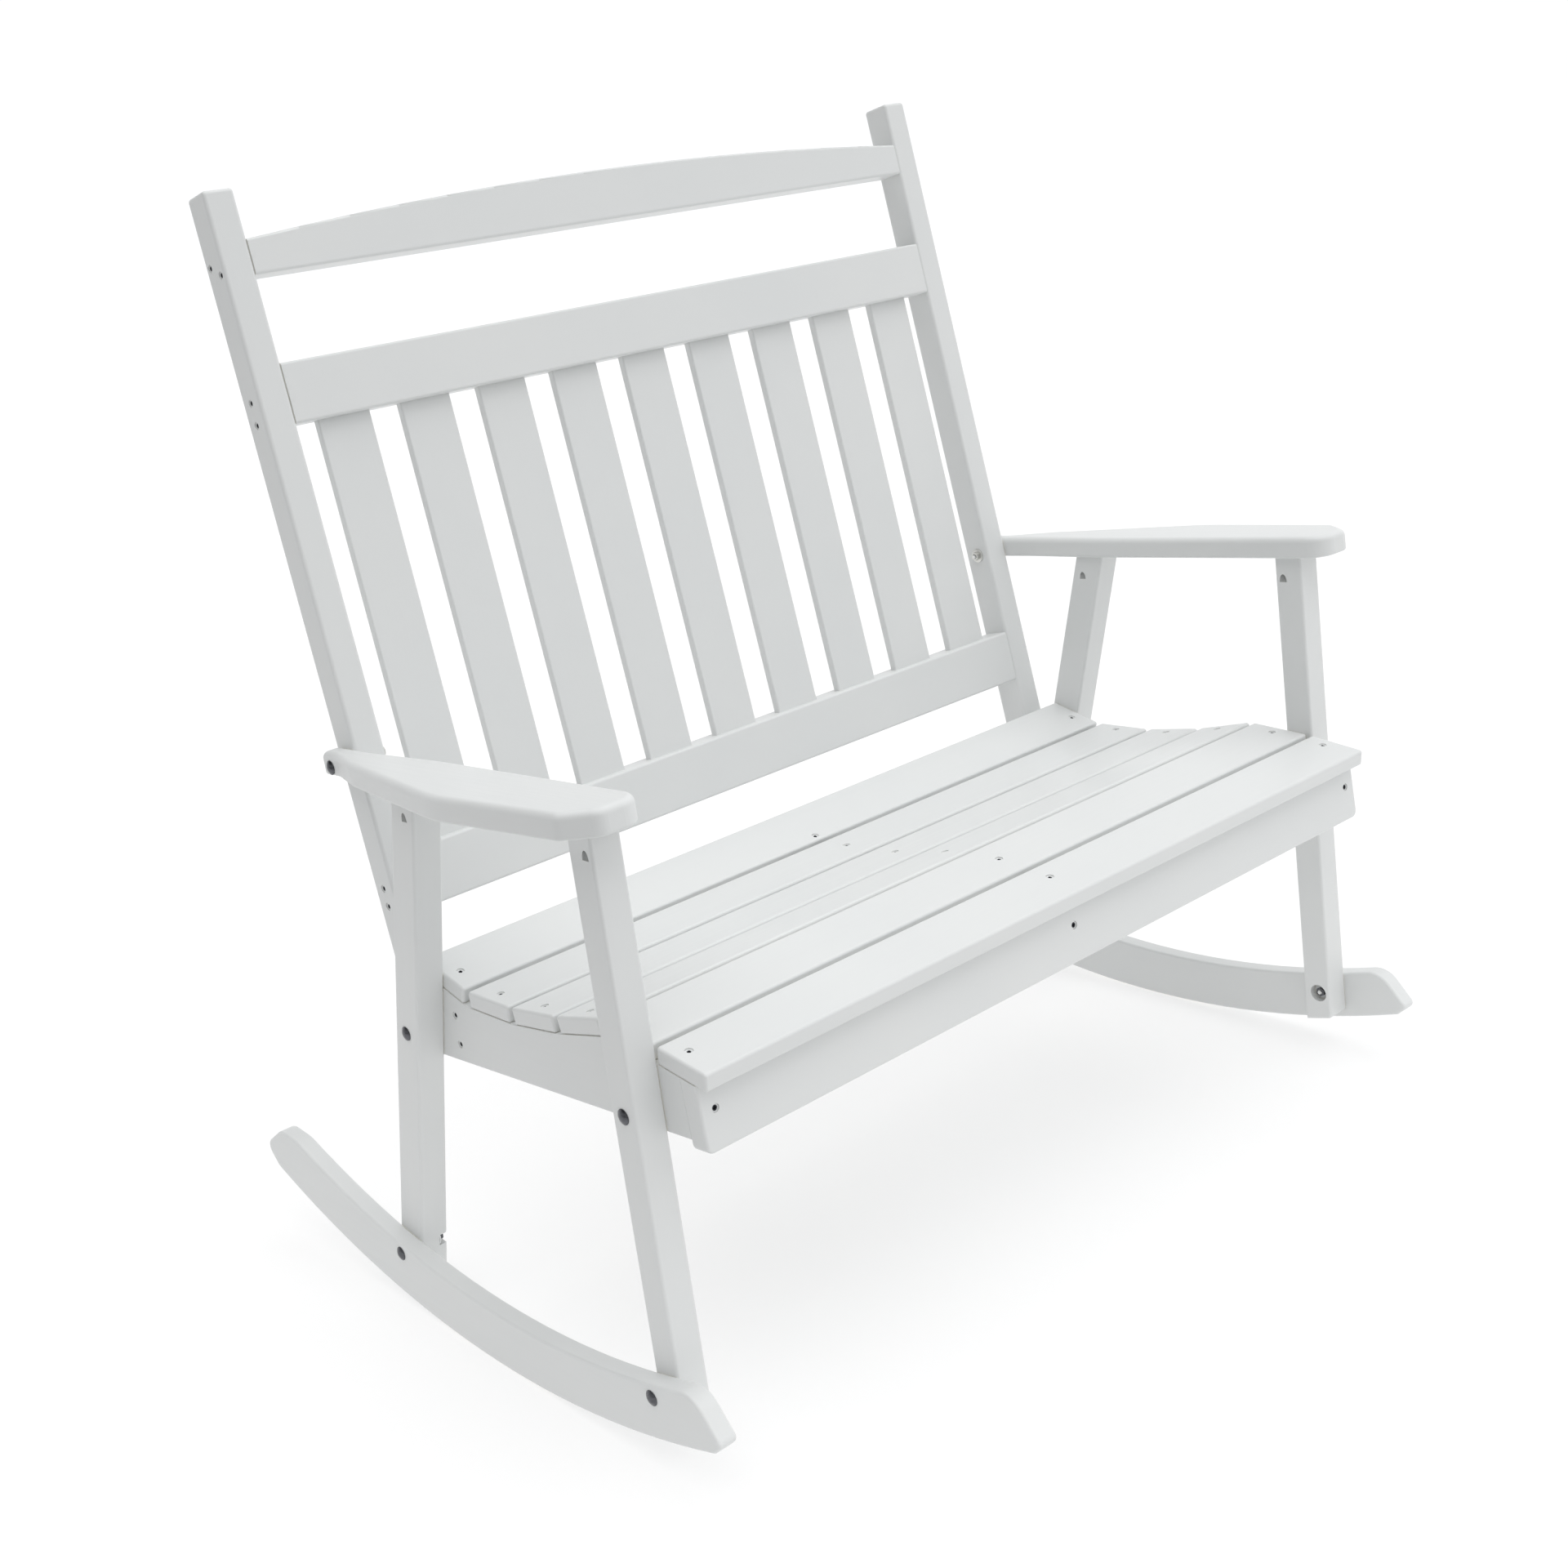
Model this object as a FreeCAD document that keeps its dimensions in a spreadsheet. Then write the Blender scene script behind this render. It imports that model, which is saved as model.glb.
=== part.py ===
import FreeCAD, Part
import math
import os
import re

import Sketcher

# Driving sizes in millimetres and degrees. x = 0 is the bench's middle, y = 0 is where the rockers
# touch the floor, z = 0 is the floor, and the sitter looks along -Y.
SIZES = [
    ("half_span", 492, "middle to the legs' inner faces"),
    ("leg_thickness", 33, "legs, across the bench"),
    ("rocker_thickness", 21, "rockers, across the bench"),
    ("post_thickness", 34, "back posts, across the bench"),
    ("rail_thickness", 34, "side rails and middle rail"),
    ("edge_round", 3, "softened edges of the wood"),
    ("rocker_radius", 1205, "bottom arc of a rocker, centred over the centre of mass"),
    ("rocker_depth", 61, "rocker's depth at the middle"),
    ("rocker_top_shift", 22, "top arc's centre lies this far in front"),
    ("rocker_front_foot_y", -364, "front end of the bottom arc"),
    ("rocker_nose_y", -376, "foremost point"),
    ("rocker_nose_rise", 7, "above the bottom arc carried on to there"),
    ("rocker_front_top_y", -343, "front end of the top arc"),
    ("rocker_rear_foot_y", 434, "rear end of the bottom arc"),
    ("rocker_tail_y", 456, "rearmost point"),
    ("rocker_tail_rise", 15.39, "above the bottom arc carried on to there"),
    ("rocker_tail_top_y", 411, "top of the upturned tail"),
    ("rocker_tail_top_rise", 61.74, "above the bottom arc there"),
    ("rocker_rear_top_y", 371, "rear end of the top arc"),
    ("rocker_nose_round", 6, "rounding of the nose's lower corners"),
    ("rocker_brow_round", 28, "rounding from the top arc into the nose"),
    ("rocker_tail_round", 12, "rounding of the tail's tip"),
    ("rocker_crown_round", 30, "rounding of the tail's top"),
    ("rocker_rise_round", 60, "easing from the top arc into the tail"),
    ("foot_gap", 10, "legs end this far above the bottom arc"),
    ("foot_round", 6, "legs' lower front edge"),
    ("front_leg_y", -279, "front leg's middle line"),
    ("front_leg_width", 34, "front leg, front to back"),
    ("rear_leg_width", 40, "rear leg, square to its slope"),
    ("rear_leg_y", 13, "rear leg's middle line at the height below"),
    ("rear_leg_z", 590, "that height"),
    ("rear_leg_lean", 17, "rear leg's slope, foot backwards"),
    ("arm_y", -31.5, "a point of the arms' underside"),
    ("arm_z", 604, "its height"),
    ("arm_slope", 2.6, "arms fall this much to the rear"),
    ("arm_thickness", 24.5, "arm board"),
    ("arm_rear_y", 180, "arm's rear end"),
    ("arm_front_y", -331, "arm's front end"),
    ("arm_overhang", 7, "arm's inner edge inside the legs' inner faces"),
    ("arm_inner_y", -10, "where that edge starts to close in on the post"),
    ("arm_inner_neck_y", 110, "where it reaches the post's outer face"),
    ("arm_tail_width", 22, "arm beside the post"),
    ("arm_tail_front_y", 151, "front end of the narrow tail"),
    ("arm_neck_width", 39, "arm where the tail has widened"),
    ("arm_neck_y", 93, "place of that width"),
    ("arm_wide_width", 76, "widest, on its corner point"),
    ("arm_wide_y", -117, "place of that width"),
    ("arm_palm_width", 66, "outer front corner"),
    ("arm_palm_y", -300, "its place"),
    ("arm_tip_width", 41, "where the clipped corner ends"),
    ("arm_top_round", 7, "arm's upper edge"),
    ("arm_sweep_round", 160, "rounding of the arm's widest point"),
    ("arm_neck_round", 48, "rounding of the neck's two bends"),
    ("arm_corner_round", 16, "rounding of the outer front corners"),
    ("arm_tip_round", 24, "rounding of the inner front corner"),
    ("arm_tail_round", 4, "rounding of the rear corners"),
    ("board_width", 71, "width of a seat board"),
    ("front_board_width", 66, "width of the foremost board"),
    ("board_thickness", 18, "seat boards"),
    ("board_gap", 7, "between boards"),
    ("board_end_gap", 0.3, "between a board's end and the leg"),
    ("seat_rear_y", 88, "top rear edge of the rearmost board"),
    ("seat_rear_z", 403.5, "its height"),
    ("tilt_1", 15.5, "board tilts from rear to front, rear edge up"),
    ("tilt_2", -1, "second board from the rear"),
    ("tilt_3", -7.5, "third board"),
    ("tilt_4", -12.5, "fourth board"),
    ("tilt_5", 4.5, "fifth board"),
    ("tilt_6", 8.4, "foremost board"),
    ("rail_front_y", -329, "side rail's lower front corner"),
    ("rail_front_z", 324.5, "its height"),
    ("rail_slope", 4, "side rails' lower edge falls to the rear"),
    ("notch_depth", 12, "how far a side rail enters its post"),
    ("apron_thickness", 20, "front apron"),
    ("apron_drop", 10.5, "apron hangs this far below the rails"),
    ("apron_corner_round", 8, "apron's lower corners"),
    ("rear_rail_y", 35, "rear rail's front face"),
    ("rear_rail_thickness", 20, "rear rail"),
    ("rear_rail_depth", 68, "rear rail, top to bottom"),
    ("back_y", 113, "post's front face at the height below"),
    ("back_z", 394, "that height"),
    ("back_lean", 9.2, "lean of the back"),
    ("post_depth", 38, "post, front to back"),
    ("post_foot", -101, "along the post from that height"),
    ("post_top", 800, "along the post from that height"),
    ("post_round", 4, "post's edges"),
    ("back_rail_depth", 34, "back rails, front to back"),
    ("lower_rail_low", 47, "lower back rail's lower edge"),
    ("lower_rail_high", 111, "its upper edge"),
    ("upper_rail_low", 560, "upper back rail's lower edge"),
    ("upper_rail_high", 622.5, "its upper edge"),
    ("crest_low", 712, "crest's lower edge"),
    ("crest_end_high", 748.5, "crest's upper edge at the posts"),
    ("crest_rise", 20, "crest's arch"),
    ("slat_end_gap", 30.2, "outer slats to the posts"),
    ("slat_width", 62, "slats"),
    ("slat_thickness", 10, "slats"),
    ("slat_recess", 12, "slats behind the rails' front faces"),
    ("slat_tenon", 12, "slats' length in each rail"),
    ("slat_clearance", 0.15, "slats in their mortises, each way"),
    ("slat_round", 2, "slats' long edges"),
    ("bolt_shank_r", 3, "carriage bolts"),
    ("bolt_head_r", 7.6, "bolt head"),
    ("bolt_head_rise", 3.6, "bolt head's dome"),
    ("hole_clearance", 0.2, "round each shank"),
    ("nut_flat", 10, "across a nut's flats"),
    ("nut_height", 5, "nut"),
    ("washer_r", 9, "washer"),
    ("washer_thickness", 1.6, "washer"),
    ("thread_proud", 1.5, "bolt's end past its nut"),
    ("recess_r", 10.5, "round recess for a nut"),
    ("recess_depth", 10, "its depth"),
    ("rear_rocker_bolt_y", 160, "rear rocker bolt"),
    ("rear_rocker_bolt_rise", 53.3, "above the bottom arc there"),
    ("front_rocker_bolt_y", -281, "front rocker bolt"),
    ("front_rocker_bolt_rise", 44, "above the bottom arc there"),
    ("rear_rail_bolt_z", 331, "rear leg to side rail, on the leg's middle line"),
    ("front_rail_bolt_z", 347, "front leg to side rail, on the leg's middle line"),
    ("arm_bolt_y", 165, "arm to post"),
    ("arm_bolt_z", 603.7, "its height"),
    ("screw_shank_r", 2, "wood screws"),
    ("screw_head_r", 4, "countersunk head"),
    ("screw_head_depth", 2.4, "its cone"),
    ("screw_sink", 1.2, "head below the wood's face"),
    ("seat_screw_length", 45, "seat boards"),
    ("frame_screw_length", 60, "rails, apron and posts"),
    ("toe_screw_length", 36, "legs to arms"),
    ("seat_screw_inset", 17, "outer seat and apron screws from the legs' inner faces"),
    ("first_screw_set", 42, "rearmost board's side screws from its rear edge"),
    ("first_middle_set", 62, "rearmost board's middle screw from its rear edge"),
    ("front_screw_set", 25, "foremost board's screws from its rear edge"),
    ("middle_screw_x", 9, "middle rail's end screws, either side of its middle"),
    ("apron_screw_rise", 39, "apron screws above the apron's lower edge"),
    ("rear_screw_high", 350, "upper screws of the rear rail"),
    ("rear_screw_low", 318, "lower screws of the rear rail"),
    ("back_screw_depth", 20, "back rails' screws behind the post's front"),
    ("crest_screw_depth", 9, "crest's first screw behind the post's front"),
    ("crest_screw_deep", 28, "crest's second screw behind the post's front"),
    ("crest_screw_low", 717.5, "crest's first screw, along the post"),
    ("crest_screw_high", 728.5, "crest's second screw"),
    ("upper_screw_low", 567, "upper back rail's lower screw"),
    ("upper_screw_high", 590, "its upper screw"),
    ("lower_screw_low", 58.5, "lower back rail's lower screw"),
    ("lower_screw_high", 78, "its upper screw"),
    ("foot_screw_low", -88, "post to side rail, along the post"),
    ("foot_screw_high", -42, "the upper one"),
    ("toe_drop", 29, "toe hole below the arm's underside"),
    ("toe_angle", 30, "toe screws from upright"),
    ("toe_hole_r", 4.6, "toe hole"),
    ("toe_hole_depth", 14, "toe hole along the screw"),
    ("toe_front_split", 7, "front leg's toe holes from its middle line"),
    ("toe_rear_split", 4.5, "rear leg's toe holes from its middle line"),
]

BOARD_COUNT = 6
SLAT_COUNT = 9
SIDES = (("left", -1), ("right", 1))

doc = FreeCAD.newDocument("rocking_bench")
sheet = doc.addObject("Spreadsheet::Sheet", "Sizes")
for row, (alias, number, note) in enumerate(SIZES, 1):
    sheet.set(f"A{row}", note)
    sheet.set(f"B{row}", str(number))
    sheet.setAlias(f"B{row}", alias)
doc.recompute()
worked = doc.addObject("App::VarSet", "Worked")
owners = {alias: "Sizes" for alias, number, note in SIZES}
sub_parts = []


def owned(text):
    """The expression with each size's owner written before its name."""
    def with_owner(match):
        word = match.group(0)
        return f"{owners[word]}.{word}" if word in owners else word
    return re.sub(r"[a-z]\w*", with_owner, text)


def work_out(name, text):
    """A size that follows from the driving ones."""
    worked.addProperty("App::PropertyFloat", name)
    worked.setExpression(name, owned(text))
    worked.recompute()
    owners[name] = "Worked"
    return name


def amount(text):
    """The expression's number now."""
    return float(sheet.evalExpression(owned(text)))


def at(item, x, y, z, axis=(1, 0, 0), angle="0"):
    """Ties an object's place to expressions: a point, and a turn about an axis."""
    turn = f"rotation(vector({axis[0]}; {axis[1]}; {axis[2]}); {owned(angle)})"
    item.setExpression("Placement", f"placement(vector({owned(x)}; {owned(y)}; {owned(z)}); {turn})")


def centre_of(first, last, radius, side):
    """Centre of the short arc between two points, on the left or right of the way from first to last."""
    half = (last - first) * 0.5
    normal = FreeCAD.Vector(-half.y, half.x, 0).normalize() * (1 if side == "left" else -1)
    return first + half + normal * math.sqrt(radius * radius - half.Length * half.Length)


def arc_between(first, last, radius, side):
    """The arc from first to last. It is stored anticlockwise, so from last to first on the right side."""
    centre = centre_of(first, last, radius, side)
    ends = (first, last) if side == "left" else (last, first)
    angles = [math.atan2(p.y - centre.y, p.x - centre.x) for p in ends]
    circle = Part.Circle(centre, FreeCAD.Vector(0, 0, 1), radius)
    return Part.ArcOfCircle(circle, angles[0], angles[1])


def outline(body, role, points):
    """A closed sketch on one of the body's planes. A point is two expressions, and one whose way to the
    next point is an arc adds its radius and the side that the arc's centre is on."""
    sketch = body.newObject("Sketcher::SketchObject", body.Name + "_outline")
    plane = [f for f in body.Origin.OriginFeatures if f.Role == role][0]
    sketch.AttachmentSupport = [(plane, "")]
    sketch.MapMode = "FlatFace"
    places = [FreeCAD.Vector(amount(p[0]), amount(p[1]), 0) for p in points]
    ends = []
    for i, point in enumerate(points):
        first, last = places[i], places[(i + 1) % len(points)]
        if len(point) == 4:
            sketch.addGeometry(arc_between(first, last, amount(point[2]), point[3]), False)
            ends.append((1, 2) if point[3] == "left" else (2, 1))
        else:
            sketch.addGeometry(Part.LineSegment(first, last), False)
            ends.append((1, 2))
    for i in range(len(points)):
        j = (i + 1) % len(points)
        sketch.addConstraint(Sketcher.Constraint("Coincident", i, ends[i][1], j, ends[j][0]))
    for i, point in enumerate(points):
        ways = (("DistanceX", point[0], places[i].x), ("DistanceY", point[1], places[i].y))
        for kind, text, number in ways:
            made = sketch.addConstraint(Sketcher.Constraint(kind, -1, 1, i, ends[i][0], number))
            sketch.setExpression(f"Constraints[{made}]", owned(text))
        if len(point) == 4:
            made = sketch.addConstraint(Sketcher.Constraint("Radius", i, amount(point[2])))
            sketch.setExpression(f"Constraints[{made}]", owned(point[2]))
    return sketch


def prism(label, role, points, length, reverse=False):
    """A body of one outline carried square to its plane."""
    body = doc.addObject("PartDesign::Body", label)
    pad = body.newObject("PartDesign::Pad", label + "_pad")
    pad.Profile = outline(body, role, points)
    pad.Reversed = reverse
    pad.setExpression("Length", owned(length))
    doc.recompute()
    return body


def turned(label, points):
    """A body of one outline in X and Z turned about Z."""
    body = doc.addObject("PartDesign::Body", label)
    turn = body.newObject("PartDesign::Revolution", label + "_turn")
    turn.Profile = outline(body, "XZ_Plane", points)
    turn.ReferenceAxis = ([f for f in body.Origin.OriginFeatures if f.Role == "Z_Axis"][0], [""])
    turn.Angle = 360
    doc.recompute()
    return body


def rounded(body, radius, wanted):
    """Rounds the edges of the body's last feature that the test wants."""
    base = body.Tip
    names = [f"Edge{i}" for i, edge in enumerate(base.Shape.Edges, 1) if wanted(edge)]
    fillet = body.newObject("PartDesign::Fillet", body.Name + "_round")
    fillet.Base = (base, names)
    fillet.setExpression("Radius", owned(radius))
    body.Tip = fillet
    doc.recompute()


def ends_of(edge):
    return [vertex.Point for vertex in edge.Vertexes]


def along(direction):
    """A test for straight edges that run one way."""
    def wanted(edge):
        ends = ends_of(edge)
        if len(ends) < 2:
            return False
        run = (ends[1] - ends[0]).normalize()
        return abs(run.dot(FreeCAD.Vector(*direction))) > 0.999
    return wanted


def corner(direction, spot):
    """A test for the straight edges along one way that pass through a spot given by two expressions,
    in the order of the other two axes."""
    other = [i for i in range(3) if not direction[i]]
    place = [amount(text) for text in spot]

    def wanted(edge):
        if not along(direction)(edge):
            return False
        point = ends_of(edge)[0]
        return math.dist([point[i] for i in other], place) < 0.5
    return wanted


def in_faces_square_to(index, keep=lambda point: True):
    """A test for edges that lie in the two flat faces square to an axis, on points that are kept."""
    def wanted(edge):
        ends = ends_of(edge)
        level = abs(ends[0][index] - ends[-1][index]) < 0.001
        return level and all(keep(point) for point in ends)
    return wanted


def group(label, members):
    """Several objects as one, each a separate solid."""
    compound = doc.addObject("Part::Compound", label)
    compound.Links = members
    return compound


def copies(label, master, places):
    """Copies of one master at a list of places, each the arguments of at."""
    links = []
    for number, place in enumerate(places, 1):
        link = doc.addObject("App::Link", f"{label}_{number}")
        link.LinkedObject = master
        at(link, *place)
        links.append(link)
    return group(label, links)


def finished(label, blank, *tools):
    """A wooden piece: its blank less every hole or housing."""
    cut = doc.addObject("Part::Cut", label)
    cut.Base = blank
    cut.Tool = tools[0] if len(tools) == 1 else group(label + "_tools", list(tools))
    sub_parts.append(cut)
    return cut


def kept(item):
    """Marks an object as a sub-part of its own."""
    sub_parts.append(item)
    return item


# Lines and points that several pieces share
def bottom_arc(y):
    return f"(rocker_radius - sqrt(rocker_radius^2 - ({y})^2))"


def top_arc(y):
    return f"(rocker_radius - sqrt((rocker_radius - rocker_depth)^2 - ({y} + rocker_top_shift)^2))"


def rear_leg_line(z):
    """y of the rear leg's middle line at a height."""
    return f"(rear_leg_y + (rear_leg_z - ({z})) * tan(rear_leg_lean))"


def arm_underside(y):
    return f"(arm_z - (({y}) - arm_y) * tan(arm_slope))"


def back_point(depth, height):
    """y and z of a point behind the posts' front plane and along the posts."""
    y = f"(back_y + ({depth}) * cos(back_lean) + ({height}) * sin(back_lean))"
    z = f"(back_z - ({depth}) * sin(back_lean) + ({height}) * cos(back_lean))"
    return y, z


def rail_point(reach, rise):
    """y and z of a point along the side rails' lower edge and square to it."""
    y = f"(rail_front_y + ({reach}) * cos(rail_slope) + ({rise}) * sin(rail_slope))"
    z = f"(rail_front_z - ({reach}) * sin(rail_slope) + ({rise}) * cos(rail_slope))"
    return y, z


# Rear top edge of each seat board, from the rear board forward
work_out("edge_y_1", "seat_rear_y")
work_out("edge_z_1", "seat_rear_z")
board_widths = ["board_width"] * (BOARD_COUNT - 1) + ["front_board_width"]
for n in range(1, BOARD_COUNT):
    wide = board_widths[n - 1]
    mean = f"((tilt_{n} + tilt_{n + 1}) / 2)"
    work_out(f"edge_y_{n + 1}", f"edge_y_{n} - {wide} * cos(tilt_{n}) - board_gap * cos{mean}")
    work_out(f"edge_z_{n + 1}", f"edge_z_{n} - {wide} * sin(tilt_{n}) - board_gap * sin{mean}")


def board_point(n, reach, drop):
    """y and z of a point of board n, forward of its rear edge and below its top face."""
    y = f"(edge_y_{n} - ({reach}) * cos(tilt_{n}) + ({drop}) * sin(tilt_{n}))"
    z = f"(edge_z_{n} - ({reach}) * sin(tilt_{n}) - ({drop}) * cos(tilt_{n}))"
    return y, z


def underside_at(n, y):
    """Height of board n's underside at a y."""
    base_y, base_z = board_point(n, "0", "board_thickness")
    return f"({base_z} + (({y}) - {base_y}) * tan(tilt_{n}))"


work_out("side_rail_x", "half_span - rail_thickness")
work_out("seat_screw_x", "half_span - seat_screw_inset")
work_out("post_inner_x", "half_span - post_thickness")
work_out("leg_outer_x", "half_span + leg_thickness")
work_out("rocker_outer_x", "leg_outer_x + rocker_thickness")
work_out("half_front_leg", "front_leg_width / 2")
work_out("half_rear_leg", "rear_leg_width / 2 / cos(rear_leg_lean)")

# Fasteners: one master of each, with its head at z = 0 and its shank below, and the hole that it needs
dome = "((bolt_head_r^2 + bolt_head_rise^2) / (2 * bolt_head_rise))"


def bolt_outline(length):
    return [("0", f"-({length})"), ("bolt_shank_r", f"-({length})"), ("bolt_shank_r", "0"),
            ("bolt_head_r", "0", dome, "left"), ("0", "bolt_head_rise")]


def screw_outline(length):
    """A countersunk wood screw, its flat head sunk below the face at z = 0."""
    point = f"-({length}) + 2 * screw_shank_r"
    return [("0", f"-({length})"), ("screw_shank_r", point),
            ("screw_shank_r", "-screw_sink - screw_head_depth"),
            ("screw_head_r", "-screw_sink"), ("0", "-screw_sink")]


def screw_hole_outline(length):
    """The screw's bore and the countersink of its head, open to above the face."""
    bore = "(screw_shank_r + hole_clearance)"
    mouth = "(screw_head_r + hole_clearance)"
    seat = "-screw_sink - hole_clearance"
    return [("0", f"-({length}) - 1"), (bore, f"-({length}) - 1"), (bore, f"{seat} - screw_head_depth"),
            (mouth, seat), (mouth, "screw_head_r"), ("0", "screw_head_r")]


def bolt_hole_outline(length):
    bore = "(bolt_shank_r + hole_clearance)"
    return [("0", f"-({length}) - 1"), (bore, f"-({length}) - 1"), (bore, "1"), ("0", "1")]


work_out("nut_stack", "washer_thickness + nut_height + thread_proud")
work_out("rocker_bolt_length", "rocker_thickness + leg_thickness - recess_depth + nut_stack")
work_out("rail_bolt_length", "leg_thickness + rail_thickness + nut_stack")
work_out("arm_bolt_length", "arm_tail_width + post_thickness + nut_stack")

washer_ring = [("bolt_shank_r + hole_clearance", "0"), ("washer_r", "0"), ("washer_r", "washer_thickness"),
               ("bolt_shank_r + hole_clearance", "washer_thickness")]
washer = turned("washer_master", washer_ring)


def nut_master():
    """A hexagon nut with its faces square to Z, standing on z = 0."""
    prism_part = doc.addObject("Part::Prism", "nut_hexagon")
    prism_part.Polygon = 6
    prism_part.setExpression("Circumradius", owned("nut_flat / 2 / cos(30)"))
    prism_part.setExpression("Height", owned("nut_height"))
    bore = doc.addObject("Part::Cylinder", "nut_bore")
    bore.setExpression("Radius", owned("bolt_shank_r + hole_clearance / 2"))
    bore.setExpression("Height", owned("nut_height + 2"))
    at(bore, "0", "0", "-1")
    nut = doc.addObject("Part::Cut", "nut_master")
    nut.Base = prism_part
    nut.Tool = bore
    return nut


nut = nut_master()
recess = doc.addObject("Part::Cylinder", "nut_recess")
recess.setExpression("Radius", owned("recess_r"))
recess.setExpression("Height", owned("recess_depth + 1"))
toe_bore = doc.addObject("Part::Cylinder", "toe_bore")
toe_bore.setExpression("Radius", owned("toe_hole_r"))
toe_bore.setExpression("Height", owned("toe_hole_depth * 2"))
at(toe_bore, "0", "0", "-toe_hole_depth")

OUTWARD = {-1: ((0, 1, 0), "270"), 1: ((0, 1, 0), "90")}
INWARD = {-1: ((0, 1, 0), "90"), 1: ((0, 1, 0), "270")}


def bolt_set(name, length, head_x, nut_x, spots):
    """Bolts, washers and nuts of one joint on both sides, and their holes. Heads face outwards."""
    head = turned(name + "_bolt_master", bolt_outline(length))
    hole = turned(name + "_hole_master", bolt_hole_outline(length))
    places = {"head": [], "washer": [], "nut": []}
    for side, way in SIDES:
        for y, z in spots:
            places["head"].append((f"{way} * {head_x}", y, z, *OUTWARD[way]))
            places["washer"].append((f"{way} * {nut_x}", y, z, *INWARD[way]))
            places["nut"].append((f"{way} * ({nut_x} - washer_thickness)", y, z, *INWARD[way]))
    kept(copies(name + "_bolts", head, places["head"]))
    kept(copies(name + "_washers", washer, places["washer"]))
    kept(copies(name + "_nuts", nut, places["nut"]))
    return copies(name + "_holes", hole, places["head"])


def screw_set(name, length, places):
    """Wood screws of one joint, and their holes."""
    screw = turned(name + "_screw_master", screw_outline(length))
    hole = turned(name + "_bore_master", screw_hole_outline(length))
    kept(copies(name + "_screws", screw, places))
    return copies(name + "_bores", hole, places)


rocker_spots = [(y, f"({bottom_arc(y)} + {rise})")
                for y, rise in (("rear_rocker_bolt_y", "rear_rocker_bolt_rise"),
                                ("front_rocker_bolt_y", "front_rocker_bolt_rise"))]
rail_spots = [(rear_leg_line("rear_rail_bolt_z"), "rear_rail_bolt_z"),
              ("front_leg_y", "front_rail_bolt_z")]
recess_seat_x = "(half_span + recess_depth)"
rocker_holes = bolt_set("rocker", "rocker_bolt_length", "rocker_outer_x", recess_seat_x, rocker_spots)
rail_holes = bolt_set("rail", "rail_bolt_length", "leg_outer_x", "side_rail_x", rail_spots)
arm_holes = bolt_set("arm", "arm_bolt_length", "(half_span + arm_tail_width)", "post_inner_x",
                     [("arm_bolt_y", "arm_bolt_z")])
recess_places = [(f"{way} * {recess_seat_x}", y, z, *INWARD[way])
                 for side, way in SIDES for y, z in rocker_spots]
nut_recesses = copies("nut_recesses", recess, recess_places)

# Seat board screws stand square to their boards
seat_places = []
for n in range(1, BOARD_COUNT + 1):
    side_reach = {1: "first_screw_set", BOARD_COUNT: "front_screw_set"}.get(n, "board_width / 2")
    middle_reach = "first_middle_set" if n == 1 else side_reach
    for x, reach in (("-seat_screw_x", side_reach), ("0", middle_reach), ("seat_screw_x", side_reach)):
        y, z = board_point(n, reach, "0")
        seat_places.append((x, y, z, (1, 0, 0), f"tilt_{n}"))
seat_bores = screw_set("seat_board", "seat_screw_length", seat_places)

# Apron screws run back along the rails, rear rail screws along X and Y
apron_y, apron_z = rail_point("-apron_thickness", "apron_screw_rise - apron_drop")
apron_places = [(x, apron_y, apron_z, (1, 0, 0), "90 - rail_slope")
                for x in ("-seat_screw_x", "0", "seat_screw_x")]
apron_bores = screw_set("apron", "frame_screw_length", apron_places)
work_out("rear_rail_middle_y", "rear_rail_y + rear_rail_thickness / 2")
rear_places = [(f"{way} * half_span", "rear_rail_middle_y", z, *OUTWARD[way])
               for side, way in SIDES for z in ("rear_screw_high", "rear_screw_low")]
rear_bores = screw_set("rear_rail", "frame_screw_length", rear_places)
rear_screw_middle_z = "(rear_screw_high + rear_screw_low) / 2"
middle_places = [(x, "rear_rail_y + rear_rail_thickness", rear_screw_middle_z, (1, 0, 0), "270")
                 for x in ("-middle_screw_x", "middle_screw_x")]
middle_bores = screw_set("middle_rail", "frame_screw_length", middle_places)

# Back rail screws pass through the posts, foot screws tie the posts to the side rails
back_spots = [("crest_screw_depth", "crest_screw_low"), ("crest_screw_deep", "crest_screw_high"),
              ("back_screw_depth", "upper_screw_low"), ("back_screw_depth", "upper_screw_high"),
              ("back_screw_depth", "lower_screw_low"), ("back_screw_depth", "lower_screw_high")]
back_places = [(f"{way} * half_span", *back_point(depth, height), *OUTWARD[way])
               for side, way in SIDES for depth, height in back_spots]
back_bores = screw_set("back_rail", "frame_screw_length", back_places)
foot_places = [(f"{way} * (half_span - rail_thickness / 2)", *back_point("post_depth", height),
                (1, 0, 0), "270 - back_lean")
               for side, way in SIDES for height in ("foot_screw_low", "foot_screw_high")]
foot_bores = screw_set("post_foot", "frame_screw_length", foot_places)

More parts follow.
